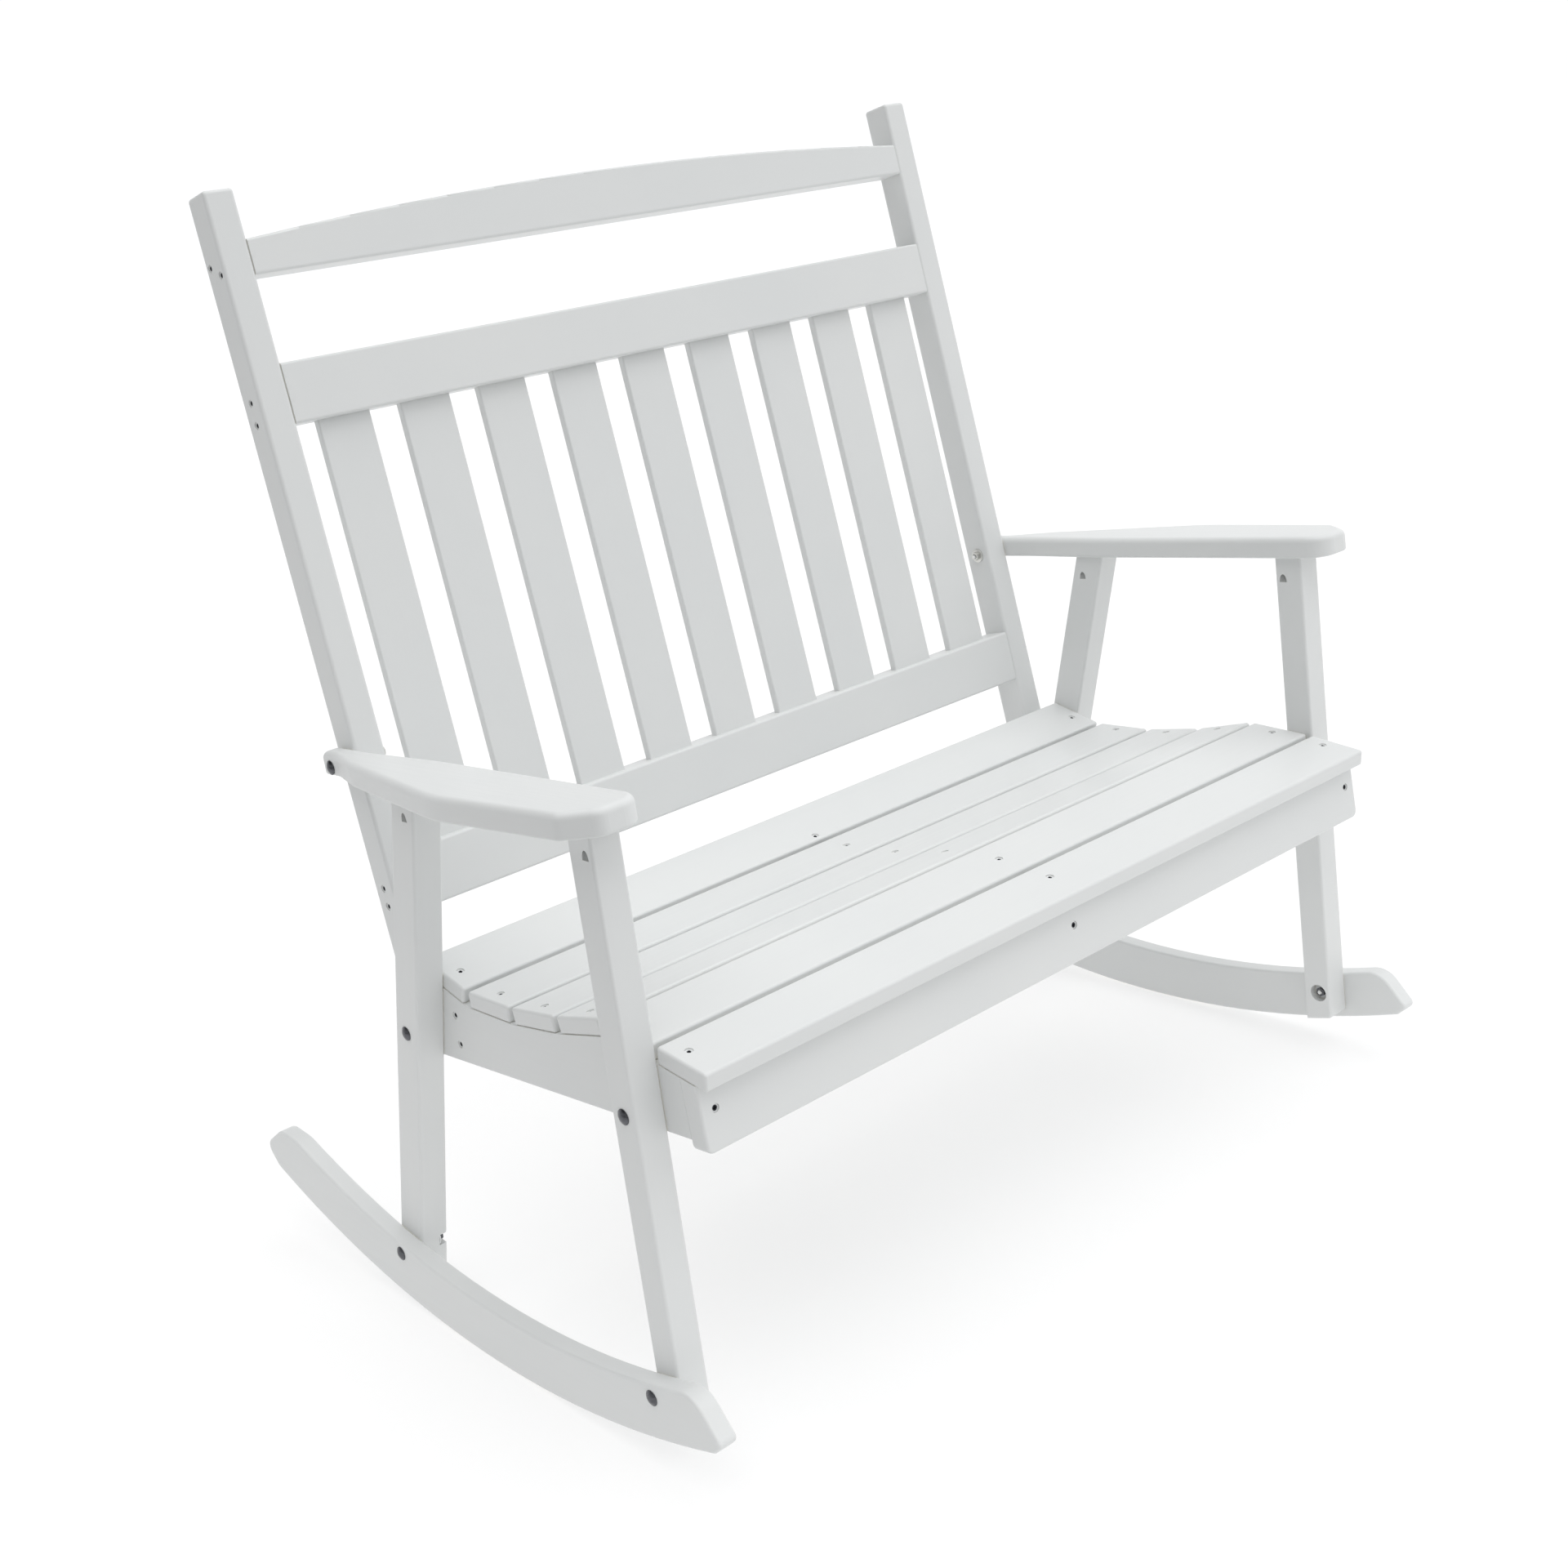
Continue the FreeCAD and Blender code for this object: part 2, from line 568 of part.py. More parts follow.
# Toe screws rise from a slanting hole in each leg's outer and inner face into the arm
toe_places = []
toe_screw_places = []
for side, way in SIDES:
    for leg_y, split in (("front_leg_y", "toe_front_split"), ("toe_rear_y", "toe_rear_split")):
        if leg_y == "toe_rear_y" and "toe_rear_y" not in owners:
            work_out("toe_rear_y", rear_leg_line("rear_leg_z - toe_drop / 2"))
        for face_x, face in (("leg_outer_x", 1), ("half_span", -1)):
            y = f"({leg_y} - {face} * {split})"
            z = f"({arm_underside(y)} - toe_drop)"
            slant = -way * face
            angle = "toe_angle" if slant > 0 else "360 - toe_angle"
            toe_places.append((f"{way} * {face_x}", y, z, (0, 1, 0), angle))
            seat_x = f"{way} * {face_x} + {slant} * toe_hole_depth * sin(toe_angle)"
            seat_z = f"{z} + toe_hole_depth * cos(toe_angle)"
            head_angle = "180 + toe_angle" if slant > 0 else "180 - toe_angle"
            toe_screw_places.append((seat_x, y, seat_z, (0, 1, 0), head_angle))
toe_bores = copies("toe_bores", toe_bore, toe_places)
toe_shanks = screw_set("arm_toe", "toe_screw_length", toe_screw_places)

# Rockers
rocker_outline = [
    ("rocker_front_foot_y", bottom_arc("rocker_front_foot_y"), "rocker_radius", "left"),
    ("rocker_rear_foot_y", bottom_arc("rocker_rear_foot_y")),
    ("rocker_tail_y", bottom_arc("rocker_tail_y") + " + rocker_tail_rise"),
    ("rocker_tail_top_y", bottom_arc("rocker_tail_top_y") + " + rocker_tail_top_rise"),
    ("rocker_rear_top_y", top_arc("rocker_rear_top_y"), "rocker_radius - rocker_depth", "right"),
    ("rocker_front_top_y", top_arc("rocker_front_top_y")),
    ("rocker_nose_y", bottom_arc("rocker_nose_y") + " + rocker_nose_rise"),
]
for side, way in SIDES:
    rocker = prism(f"rocker_{side}_blank", "YZ_Plane", rocker_outline, "rocker_thickness")
    for points, radius in (
        ([rocker_outline[0], rocker_outline[6]], "rocker_nose_round"),
        ([rocker_outline[5]], "rocker_brow_round"),
        ([rocker_outline[1], rocker_outline[2]], "rocker_tail_round"),
        ([rocker_outline[3]], "rocker_crown_round"),
        ([rocker_outline[4]], "rocker_rise_round"),
    ):
        tests = [corner((1, 0, 0), point[:2]) for point in points]
        rounded(rocker, radius, lambda edge: any(test(edge) for test in tests))
    rounded(rocker, "edge_round", in_faces_square_to(0))
    at(rocker, "leg_outer_x" if way > 0 else "-rocker_outer_x", "0", "0")
    finished(f"rocker_{side}", rocker, rocker_holes)

# Legs, ending just above the rockers' bottom arcs
front_edges = ("(front_leg_y - half_front_leg)", "(front_leg_y + half_front_leg)")
front_outline = [(y, f"{bottom_arc(y)} + foot_gap") for y in front_edges]
front_outline += [(y, arm_underside(y)) for y in reversed(front_edges)]
work_out("rear_foot_y", rear_leg_line("foot_gap"))
work_out("rear_foot_z", bottom_arc("rear_foot_y") + " + foot_gap")
work_out("rear_top_z", arm_underside(rear_leg_line("rear_leg_z")))
rear_outline = []
for way in (-1, 1):
    y = f"({rear_leg_line('rear_foot_z')} + {way} * half_rear_leg)"
    rear_outline.append((y, f"{bottom_arc(y)} + foot_gap"))
for way in (1, -1):
    y = f"({rear_leg_line('rear_top_z')} + {way} * half_rear_leg)"
    rear_outline.append((y, arm_underside(y)))
toe_tools = [toe_bores, toe_shanks]
for name, points in (("front_leg", front_outline), ("rear_leg", rear_outline)):
    leg_top = min(amount(points[2][1]), amount(points[3][1]))
    for side, way in SIDES:
        leg = prism(f"{name}_{side}_blank", "YZ_Plane", points, "leg_thickness")
        rounded(leg, "foot_round", corner((1, 0, 0), points[0]))
        in_sides = in_faces_square_to(0)
        rounded(leg, "edge_round",
                lambda edge: in_sides(edge) and min(p.z for p in ends_of(edge)) < leg_top - 1)
        at(leg, "half_span" if way > 0 else "-leg_outer_x", "0", "0")
        finished(f"{name}_{side}", leg, rocker_holes, nut_recesses, rail_holes, *toe_tools)

# Arms, drawn in plan on their sloping underside
work_out("arm_run", "1 / cos(arm_slope)")


def arm_outline(way):
    """The arm's plan on one side, from its inner rear corner, with its inner edge over the seat."""
    widths = [("0", "arm_rear_y"), ("arm_tail_width", "arm_rear_y"),
              ("arm_tail_width", "arm_tail_front_y"), ("arm_neck_width", "arm_neck_y"),
              ("arm_wide_width", "arm_wide_y"), ("arm_palm_width", "arm_palm_y"),
              ("arm_tip_width", "arm_front_y"), ("-arm_overhang", "arm_front_y"),
              ("-arm_overhang", "arm_inner_y"), ("0", "arm_inner_neck_y")]
    return [(f"{way} * (half_span + {width})", f"(({y}) - arm_y) * arm_run") for width, y in widths]


for side, way in SIDES:
    plan = arm_outline(way)
    arm = prism(f"arm_{side}_blank", "XY_Plane", plan, "arm_thickness")
    for numbers, radius in (((0, 1), "arm_tail_round"), ((2, 3), "arm_neck_round"),
                            ((4, 8, 9), "arm_sweep_round"), ((5, 6), "arm_corner_round"),
                            ((7,), "arm_tip_round")):
        tests = [corner((0, 0, 1), plan[number]) for number in numbers]
        rounded(arm, radius, lambda edge: any(test(edge) for test in tests))
    thick = amount("arm_thickness")
    rounded(arm, "arm_top_round", in_faces_square_to(2, lambda p: p.z > thick - 0.01))
    rounded(arm, "edge_round", in_faces_square_to(2, lambda p: p.z < 0.01))
    at(arm, "0", "arm_y", "arm_z", (1, 0, 0), "360 - arm_slope")
    finished(f"arm_{side}", arm, arm_holes, toe_shanks)

# Rails under the seat, their tops cut to the boards' undersides
rail_tops = []
for n in range(1, BOARD_COUNT + 1):
    rail_tops.append(board_point(n, "0", "board_thickness"))
    rail_tops.append(board_point(n, board_widths[n - 1], "board_thickness"))
front_top_y = "(rail_front_y + (seat_front_z - rail_front_z) * tan(rail_slope))"
work_out("seat_front_z", underside_at(BOARD_COUNT, "rail_front_y"))
front_top = (front_top_y, underside_at(BOARD_COUNT, front_top_y))
work_out("notch_y", "back_y + notch_depth / cos(back_lean)")
rail_slope_tan = "tan(rail_slope)"
lean_tan = "tan(back_lean)"
end_run = f"(notch_y - back_z * {lean_tan} - rail_front_y)"
end_fall = f"{end_run} * {rail_slope_tan}"
work_out("rail_end_low_z", f"(rail_front_z - {end_fall}) / (1 + {lean_tan} * {rail_slope_tan})")
work_out("rail_end_low_y", f"notch_y + (rail_end_low_z - back_z) * {lean_tan}")
work_out("rail_end_high_z", board_point(1, "0", "board_thickness")[1])
work_out("rail_end_high_y", f"notch_y + (rail_end_high_z - back_z) * {lean_tan}")
side_rail_outline = [("rail_front_y", "rail_front_z"), ("rail_end_low_y", "rail_end_low_z"),
                     ("rail_end_high_y", "rail_end_high_z")] + rail_tops[:-1] + [front_top]
middle_top = ("rear_rail_y", underside_at(1, "rear_rail_y"))
middle_low_z = f"(rail_front_z - (rear_rail_y - rail_front_y) * {rail_slope_tan})"
middle_rail_outline = [("rail_front_y", "rail_front_z"), ("rear_rail_y", middle_low_z), middle_top]
middle_rail_outline += rail_tops[1:-1] + [front_top]
side_rails = {}
for side, way in SIDES:
    rail = prism(f"side_rail_{side}_blank", "YZ_Plane", side_rail_outline, "rail_thickness")
    lowest = [amount("rail_front_z"), amount("rail_end_low_z")]
    rounded(rail, "edge_round", in_faces_square_to(0, lambda p: min(abs(p.z - low) for low in lowest) < 0.01))
    at(rail, "side_rail_x" if way > 0 else "-half_span", "0", "0")
    bores = [seat_bores, apron_bores, rear_bores, foot_bores]
    side_rails[side] = finished(f"side_rail_{side}", rail, rail_holes, *bores)
middle_rail = prism("middle_rail_blank", "YZ_Plane", middle_rail_outline, "rail_thickness")
at(middle_rail, "-rail_thickness / 2", "0", "0")
finished("middle_rail", middle_rail, seat_bores, apron_bores, middle_bores)

# Rear rail between the side rails, and the apron across the rails' front ends
rear_top = underside_at(1, "rear_rail_y")
rear_low = f"{rear_top} - rear_rail_depth"
rear_rail_outline = [("0", rear_low), ("rear_rail_thickness", rear_low),
                     ("rear_rail_thickness", rear_top), ("0", rear_top)]
rear_rail = prism("rear_rail_blank", "YZ_Plane", rear_rail_outline, "2 * side_rail_x")
at(rear_rail, "-side_rail_x", "rear_rail_y", "0")
finished("rear_rail", rear_rail, rear_bores, middle_bores, seat_bores)
apron_low_rear = rail_point("0", "-apron_drop")
apron_low_front = rail_point("-apron_thickness", "-apron_drop")
apron_top_front_y = f"({apron_low_front[0]} + (apron_front_z - {apron_low_front[1]}) * {rail_slope_tan})"
work_out("apron_front_z", underside_at(BOARD_COUNT, "rail_front_y - apron_thickness"))
apron_front_top = (apron_top_front_y, underside_at(BOARD_COUNT, apron_top_front_y))
apron_outline = [apron_low_front, apron_low_rear, front_top, apron_front_top]
apron_face_y, apron_low_z = (amount(text) for text in apron_low_front)
apron_slope = math.radians(amount("rail_slope"))


def in_apron_front(edge):
    """True for the edges of the apron's front face, apart from the top one."""
    ends = ends_of(edge)
    offs = [(p.y - apron_face_y) * math.cos(apron_slope) - (p.z - apron_low_z) * math.sin(apron_slope)
            for p in ends]
    low_enough = min(p.z for p in ends) < apron_low_z + amount("apron_corner_round") + 1
    return max(map(abs, offs)) < 0.01 and low_enough


apron = prism("front_apron_blank", "YZ_Plane", apron_outline, "2 * (half_span - board_end_gap)")
rounded(apron, "apron_corner_round",
        lambda edge: not along((1, 0, 0))(edge) and max(p.z for p in ends_of(edge)) < apron_low_z + 5)
rounded(apron, "edge_round", in_apron_front)
at(apron, "-(half_span - board_end_gap)", "0", "0")
finished("front_apron", apron, apron_bores)

# Seat boards
for n in range(1, BOARD_COUNT + 1):
    wide = board_widths[n - 1]
    section = [(f"-{wide}", "-board_thickness"), ("0", "-board_thickness"), ("0", "0"), (f"-{wide}", "0")]
    board = prism(f"seat_board_{n}_blank", "YZ_Plane", section, "2 * (half_span - board_end_gap)")
    rounded(board, "edge_round", lambda edge: True)
    at(board, "-(half_span - board_end_gap)", f"edge_y_{n}", f"edge_z_{n}", (1, 0, 0), f"tilt_{n}")
    finished(f"seat_board_{n}", board, seat_bores)

# Back: posts, three rails between them and the slats housed in the lower two
LEANING = ((1, 0, 0), "360 - back_lean")
post_outline = [("0", "post_foot"), ("post_depth", "post_foot"),
                ("post_depth", "post_top"), ("0", "post_top")]
for side, way in SIDES:
    post = prism(f"back_post_{side}_blank", "YZ_Plane", post_outline, "post_thickness")
    rounded(post, "post_round", lambda edge: True)
    at(post, "post_inner_x" if way > 0 else "-half_span", "back_y", "back_z", *LEANING)
    finished(f"back_post_{side}", post, arm_holes, back_bores, foot_bores, side_rails[side])

work_out("slat_pitch", f"(2 * (post_inner_x - slat_end_gap) - slat_width) / {SLAT_COUNT - 1}")
housing = doc.addObject("Part::Box", "slat_housing")
housing.setExpression("Length", owned("slat_width + 2 * slat_clearance"))
housing.setExpression("Width", owned("slat_thickness + 2 * slat_clearance"))
slat_length = "upper_rail_low - lower_rail_high + 2 * slat_tenon"
housing.setExpression("Height", owned(slat_length + " + 2 * slat_clearance"))
slat_low = "lower_rail_high - slat_tenon"
slat_xs = [f"({n - (SLAT_COUNT - 1) / 2} * slat_pitch - slat_width / 2)" for n in range(SLAT_COUNT)]
housing_low = back_point("slat_recess - slat_clearance", f"{slat_low} - slat_clearance")
housing_places = [(f"{x} - slat_clearance", *housing_low, *LEANING) for x in slat_xs]
slat_housings = copies("slat_housings", housing, housing_places)


def back_rail(name, low, high):
    """A straight back rail, flush with the posts' front faces."""
    section = [("0", low), ("back_rail_depth", low), ("back_rail_depth", high), ("0", high)]
    rail = prism(name + "_blank", "YZ_Plane", section, "2 * post_inner_x")
    rounded(rail, "edge_round", along((1, 0, 0)))
    at(rail, "-post_inner_x", "back_y", "back_z", *LEANING)
    finished(name, rail, back_bores, slat_housings)


back_rail("lower_back_rail", "lower_rail_low", "lower_rail_high")
back_rail("upper_back_rail", "upper_rail_low", "upper_rail_high")
crest_radius = "((post_inner_x^2 + crest_rise^2) / (2 * crest_rise))"
crest_outline = [("-post_inner_x", "crest_low"), ("post_inner_x", "crest_low"),
                 ("post_inner_x", "crest_end_high", crest_radius, "left"),
                 ("-post_inner_x", "crest_end_high")]
crest = prism("crest_rail_blank", "XZ_Plane", crest_outline, "back_rail_depth", reverse=True)
reach = amount("post_inner_x")


def runs_across(edge):
    """True for the crest's long edges."""
    ends = ends_of(edge)
    return in_faces_square_to(1)(edge) and abs(ends[0].x - ends[-1].x) > reach


rounded(crest, "edge_round", runs_across)
at(crest, "0", "back_y", "back_z", *LEANING)
finished("crest_rail", crest, back_bores)

slat_section = [("0", "0"), ("slat_thickness", "0"), ("slat_thickness", slat_length), ("0", slat_length)]
for n, x in enumerate(slat_xs, 1):
    slat = prism(f"back_slat_{n}", "YZ_Plane", slat_section, "slat_width")
    rounded(slat, "slat_round", along((0, 0, 1)))
    at(slat, x, *back_point("slat_recess", slat_low), *LEANING)
    kept(slat)

doc.recompute()
for item in doc.Objects:
    for trouble in ("Invalid", "Error"):
        if trouble in item.State:
            raise RuntimeError(f"{item.Label} is {trouble}")
os.makedirs("parts", exist_ok=True)
for item in sub_parts:
    shape = item.Shape
    if shape.isNull() or not shape.isValid() or not shape.Solids:
        raise RuntimeError(f"{item.Label} has no valid solid")
    shape.exportStep(os.path.join("parts", item.Label + ".step"))
    print(item.Label, len(shape.Solids), "solids", round(shape.Volume / 1000, 2), "cm3")
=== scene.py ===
"""Looks of a painted wooden rocking bench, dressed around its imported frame.

Lengths are in metres in the frame's own axes: +Z is up, -Y is the way a sitter faces, and the
floor is at z = 0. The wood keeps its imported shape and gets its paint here. The bolts, nuts,
washers and screws are worked out anew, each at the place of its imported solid.
"""

from __future__ import annotations

import logging
import math
from dataclasses import dataclass
from enum import Enum
from typing import Any, Sequence

import bpy
import numpy as np
from mathutils import Matrix, Vector

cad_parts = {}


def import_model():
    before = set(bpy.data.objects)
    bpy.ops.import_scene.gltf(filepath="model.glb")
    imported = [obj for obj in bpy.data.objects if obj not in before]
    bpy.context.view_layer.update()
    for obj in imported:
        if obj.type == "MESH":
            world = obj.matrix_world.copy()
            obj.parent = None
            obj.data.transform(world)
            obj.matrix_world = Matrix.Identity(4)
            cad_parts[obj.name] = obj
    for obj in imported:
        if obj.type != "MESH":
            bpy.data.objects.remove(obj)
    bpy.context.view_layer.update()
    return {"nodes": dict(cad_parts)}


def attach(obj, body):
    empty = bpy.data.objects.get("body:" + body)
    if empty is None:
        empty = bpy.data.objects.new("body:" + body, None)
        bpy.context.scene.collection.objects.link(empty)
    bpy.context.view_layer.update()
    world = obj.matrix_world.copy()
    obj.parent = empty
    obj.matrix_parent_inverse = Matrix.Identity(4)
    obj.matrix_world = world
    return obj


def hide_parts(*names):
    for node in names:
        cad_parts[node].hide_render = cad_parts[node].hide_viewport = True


LOG = logging.getLogger("rocking_bench")
MM = 0.001
BODY = "root"
# On the screws' heads this share also carries painted shade: a dark disc at each head's middle
BARE_OR_SHADE = "bare"  # the attribute for a vertex's share of bare metal, from 0 under the coat to 1
BACK_LEAN = 9.2  # degrees that the back leans
REAR_LEG_LEAN = 17.0  # degrees that the rear legs splay
ARM_FALL = 2.6  # degrees that the arms fall to the rear
SHARP_EDGE = 32.0  # degrees between two faces from which their edge looks sharp
WELD_DECIMALS = 5  # decimals of a metre to which packed vertices count as one
NOISE_LOW, NOISE_HIGH = 0.3, 0.7  # the range that holds most of a noise's values
COLOUR_A, COLOUR_B, MIXED_COLOUR = 6, 7, 2  # numbers of a colour mix's own sockets


# Small tools


def linear(hex_colour: str) -> tuple[float, float, float, float]:
    """Turns an sRGB colour into the linear one that shaders use.

    Each channel c above 0.04045 becomes ((c + 0.055) / 1.055) to the power 2.4, and a smaller one
    is divided by 12.92.

    Args:
        hex_colour: Six hex digits after a hash sign.

    Returns:
        Red, green, blue and an alpha of one.
    """
    channels = [int(hex_colour[i : i + 2], 16) / 255 for i in (1, 3, 5)]
    red, green, blue = (c / 12.92 if c <= 0.04045 else ((c + 0.055) / 1.055) ** 2.4 for c in channels)
    return red, green, blue, 1.0


def add_node(
    tree: bpy.types.NodeTree,
    kind: str,
    inputs: dict[str | int, Any] | None = None,
    **settings: Any,
) -> bpy.types.Node:
    """Adds one node with its settings, values and links.

    Args:
        tree: The node tree that gets the node.
        kind: The node's type, without its ShaderNode prefix.
        inputs: A value or an output socket for each input, by name or number.
        **settings: The node's own properties.

    Returns:
        The new node.
    """
    node = tree.nodes.new("ShaderNode" + kind)
    for name, value in settings.items():
        setattr(node, name, value)
    for name, value in (inputs or {}).items():
        if isinstance(value, bpy.types.NodeSocket):
            tree.links.new(value, node.inputs[name])
        else:
            node.inputs[name].default_value = value
    return node


def start_material(name: str) -> tuple[bpy.types.Material, bpy.types.NodeTree]:
    """Makes a material whose node tree is empty.

    Args:
        name: The material's name.

    Returns:
        The material and its node tree.
    """
    made = bpy.data.materials.new(name)
    made.use_nodes = True
    made.node_tree.nodes.clear()
    return made, made.node_tree


def smooth(value: np.ndarray) -> np.ndarray:
    """Eases 0 to 1 with level ends: 3 t squared less 2 t cubed, of the clamped value."""
    t = np.clip(value, 0.0, 1.0)
    return t * t * (3.0 - 2.0 * t)


# Finishes


class Grain(Enum):
    """The way that a piece's wood grain runs, as degrees from +Y towards +Z, or across the bench."""

    ACROSS = "across"
    FORE_AND_AFT = 0.0
    ARM = -ARM_FALL
    UPRIGHT = 90.0
    BACK = 90.0 - BACK_LEAN
    REAR_LEG = 90.0 + REAR_LEG_LEAN

    def turn(self) -> tuple[float, float, float]:
        """The Euler turn that brings the grain onto X, in radians."""
        if self is Grain.ACROSS:
            return 0.0, 0.0, 0.0
        return -math.radians(self.value), 0.0, -math.radians(90.0)


@dataclass(frozen=True)
class PaintedPine:
    """Planed softwood under two coats of sprayed white acrylic enamel.

    The paint is a satin film that hides the wood's colour. The eye gets soft broad highlights, a
    trace of raised grain along each board, and the film's stipple. In slots and recesses the colour
    is mixed towards a warmer, lighter cream: painted light, for the light that goes from wall to
    wall there. The stipple is drawn coarser than it is, so that it shows.
    """

    white: str = "#E0E1E0"
    cloudy_white: str = "#DBDDDD"
    # the lighter cream that slots and recesses are mixed towards: painted light
    crevice_painted_light: str = "#F7F5EE"
    roughness: float = 0.42
    roughness_swing: float = 0.07
    grain_width: float = 3.2 * MM
    grain_length: float = 150 * MM
    cloud_size: float = 140 * MM
    stipple_size: float = 1.6 * MM
    grain_height: float = 0.05 * MM
    stipple_height: float = 0.015 * MM
    crevice_reach: float = 9 * MM
    crevice_start: float = 0.48
    crevice_end: float = 0.1
    crevice_light_share: float = 0.9
    crevice_rays: int = 8
    streak_detail: float = 3.0
    streak_roughness: float = 0.55
    cloud_detail: float = 2.0
    stipple_detail: float = 1.0
    refraction: float = 1.47

    def material(self, grain: Grain) -> bpy.types.Material:
        """Makes the paint for pieces whose grain runs one way.

        Args:
            grain: The way that the grain runs.

        Returns:
            The material, on Object coordinates.
        """
        made, tree = start_material(f"white_enamel_{grain.name.lower()}")
        place = add_node(tree, "TexCoord").outputs["Object"]
        turn = {"Vector": place, "Rotation": grain.turn()}
        run = add_node(tree, "Mapping", turn, vector_type="POINT").outputs["Vector"]
        stretch = (1 / self.grain_length, 1 / self.grain_width, 1 / self.grain_width)
        drawn = add_node(tree, "Mapping", {"Vector": run, "Scale": stretch}).outputs["Vector"]
        pattern = {"Scale": 1.0, "Detail": self.streak_detail, "Roughness": self.streak_roughness}
        streaks = add_node(tree, "TexNoise", {"Vector": drawn, **pattern}).outputs["Fac"]
        broad = {"Vector": run, "Scale": 1 / self.cloud_size, "Detail": self.cloud_detail}
        clouds = add_node(tree, "TexNoise", broad).outputs["Fac"]
        fine = {"Vector": run, "Scale": 1 / self.stipple_size, "Detail": self.stipple_detail}
        stipple = add_node(tree, "TexNoise", fine).outputs["Fac"]
        whites = {COLOUR_A: linear(self.white), COLOUR_B: linear(self.cloudy_white)}
        tone = add_node(tree, "Mix", {"Factor": clouds, **whites}, data_type="RGBA")
        # Painted light: where the ambient occlusion finds a slot or recess, the colour is mixed towards a
        # lighter cream, for the light that goes from wall to wall there
        reach = {"Distance": self.crevice_reach}
        shelter = add_node(tree, "AmbientOcclusion", reach, samples=self.crevice_rays)
        depth = add_node(
            tree,
            "MapRange",
            {
                "Value": shelter.outputs["AO"],
                "From Min": self.crevice_start,
                "From Max": self.crevice_end,
                "To Min": 0.0,
                "To Max": self.crevice_light_share,
            },
        )
        painted_light_colours = {COLOUR_A: tone.outputs[MIXED_COLOUR], COLOUR_B: linear(self.crevice_painted_light)}
        colour = add_node(tree, "Mix", {"Factor": depth.outputs["Result"], **painted_light_colours}, data_type="RGBA")
        sheen = add_node(
            tree,
            "MapRange",
            {
                "Value": streaks,
                "From Min": NOISE_LOW,
                "From Max": NOISE_HIGH,
                "To Min": self.roughness - self.roughness_swing,
                "To Max": self.roughness + self.roughness_swing,
            },
        )
        raised = add_node(tree, "Bump", {"Height": streaks, "Distance": self.grain_height})
        relief = {"Height": stipple, "Distance": self.stipple_height, "Normal": raised.outputs["Normal"]}
        film = add_node(tree, "Bump", relief)
        shader = add_node(
            tree,
            "BsdfPrincipled",
            {
                "Base Color": colour.outputs[MIXED_COLOUR],
                "Roughness": sheen.outputs["Result"],
                "Normal": film.outputs["Normal"],
                "IOR": self.refraction,
            },
        )
        add_node(tree, "OutputMaterial", {"Surface": shader.outputs["BSDF"]})
        return made


@dataclass(frozen=True)
class PlatedSteel:
    """Cold-formed steel under a thin plated or blackened coat.

    The coat follows the forming marks, so the eye gets a metallic sheen that breaks up in small
    sharper and duller patches. A cut bolt end has no coat and is bright.
    """

    name: str
    slot: str
    colour: str
    worn_colour: str
    roughness: float
    cut_colour: str = "#D2D3D2"
    patch_size: float = 2.4 * MM
    scratch_size: float = 0.35 * MM
    scratch_height: float = 0.012 * MM
    patch_detail: float = 3.0
    scratch_detail: float = 2.0
    sharpest: float = 0.8
    dullest: float = 1.25

    def material(self) -> bpy.types.Material:
        """Makes the metal, on Object coordinates and the share of bare metal."""
        made, tree = start_material(self.name)
        place = add_node(tree, "TexCoord").outputs["Object"]
        broad = {"Vector": place, "Scale": 1 / self.patch_size, "Detail": self.patch_detail}
        patches = add_node(tree, "TexNoise", broad).outputs["Fac"]
        fine = {"Vector": place, "Scale": 1 / self.scratch_size, "Detail": self.scratch_detail}
        marks = add_node(tree, "TexNoise", fine).outputs["Fac"]
        coats = {COLOUR_A: linear(self.colour), COLOUR_B: linear(self.worn_colour)}
        coat = add_node(tree, "Mix", {"Factor": patches, **coats}, data_type="RGBA")
        bare = add_node(tree, "Attribute", attribute_name=BARE_OR_SHADE).outputs["Fac"]
        metals = {COLOUR_A: coat.outputs[MIXED_COLOUR], COLOUR_B: linear(self.cut_colour)}
        tone = add_node(tree, "Mix", {"Factor": bare, **metals}, data_type="RGBA")
        dull = add_node(
            tree,
            "MapRange",
            {
                "Value": patches,
                "From Min": NOISE_LOW,
                "From Max": NOISE_HIGH,
                "To Min": self.roughness * self.sharpest,
                "To Max": self.roughness * self.dullest,
            },
        )
        bump = add_node(tree, "Bump", {"Height": marks, "Distance": self.scratch_height})
        shader = add_node(
            tree,
            "BsdfPrincipled",
            {
                "Base Color": tone.outputs[MIXED_COLOUR],
                "Metallic": 1.0,
                "Roughness": dull.outputs["Result"],
                "Normal": bump.outputs["Normal"],
            },
        )
        add_node(tree, "OutputMaterial", {"Surface": shader.outputs["BSDF"]})
        return made


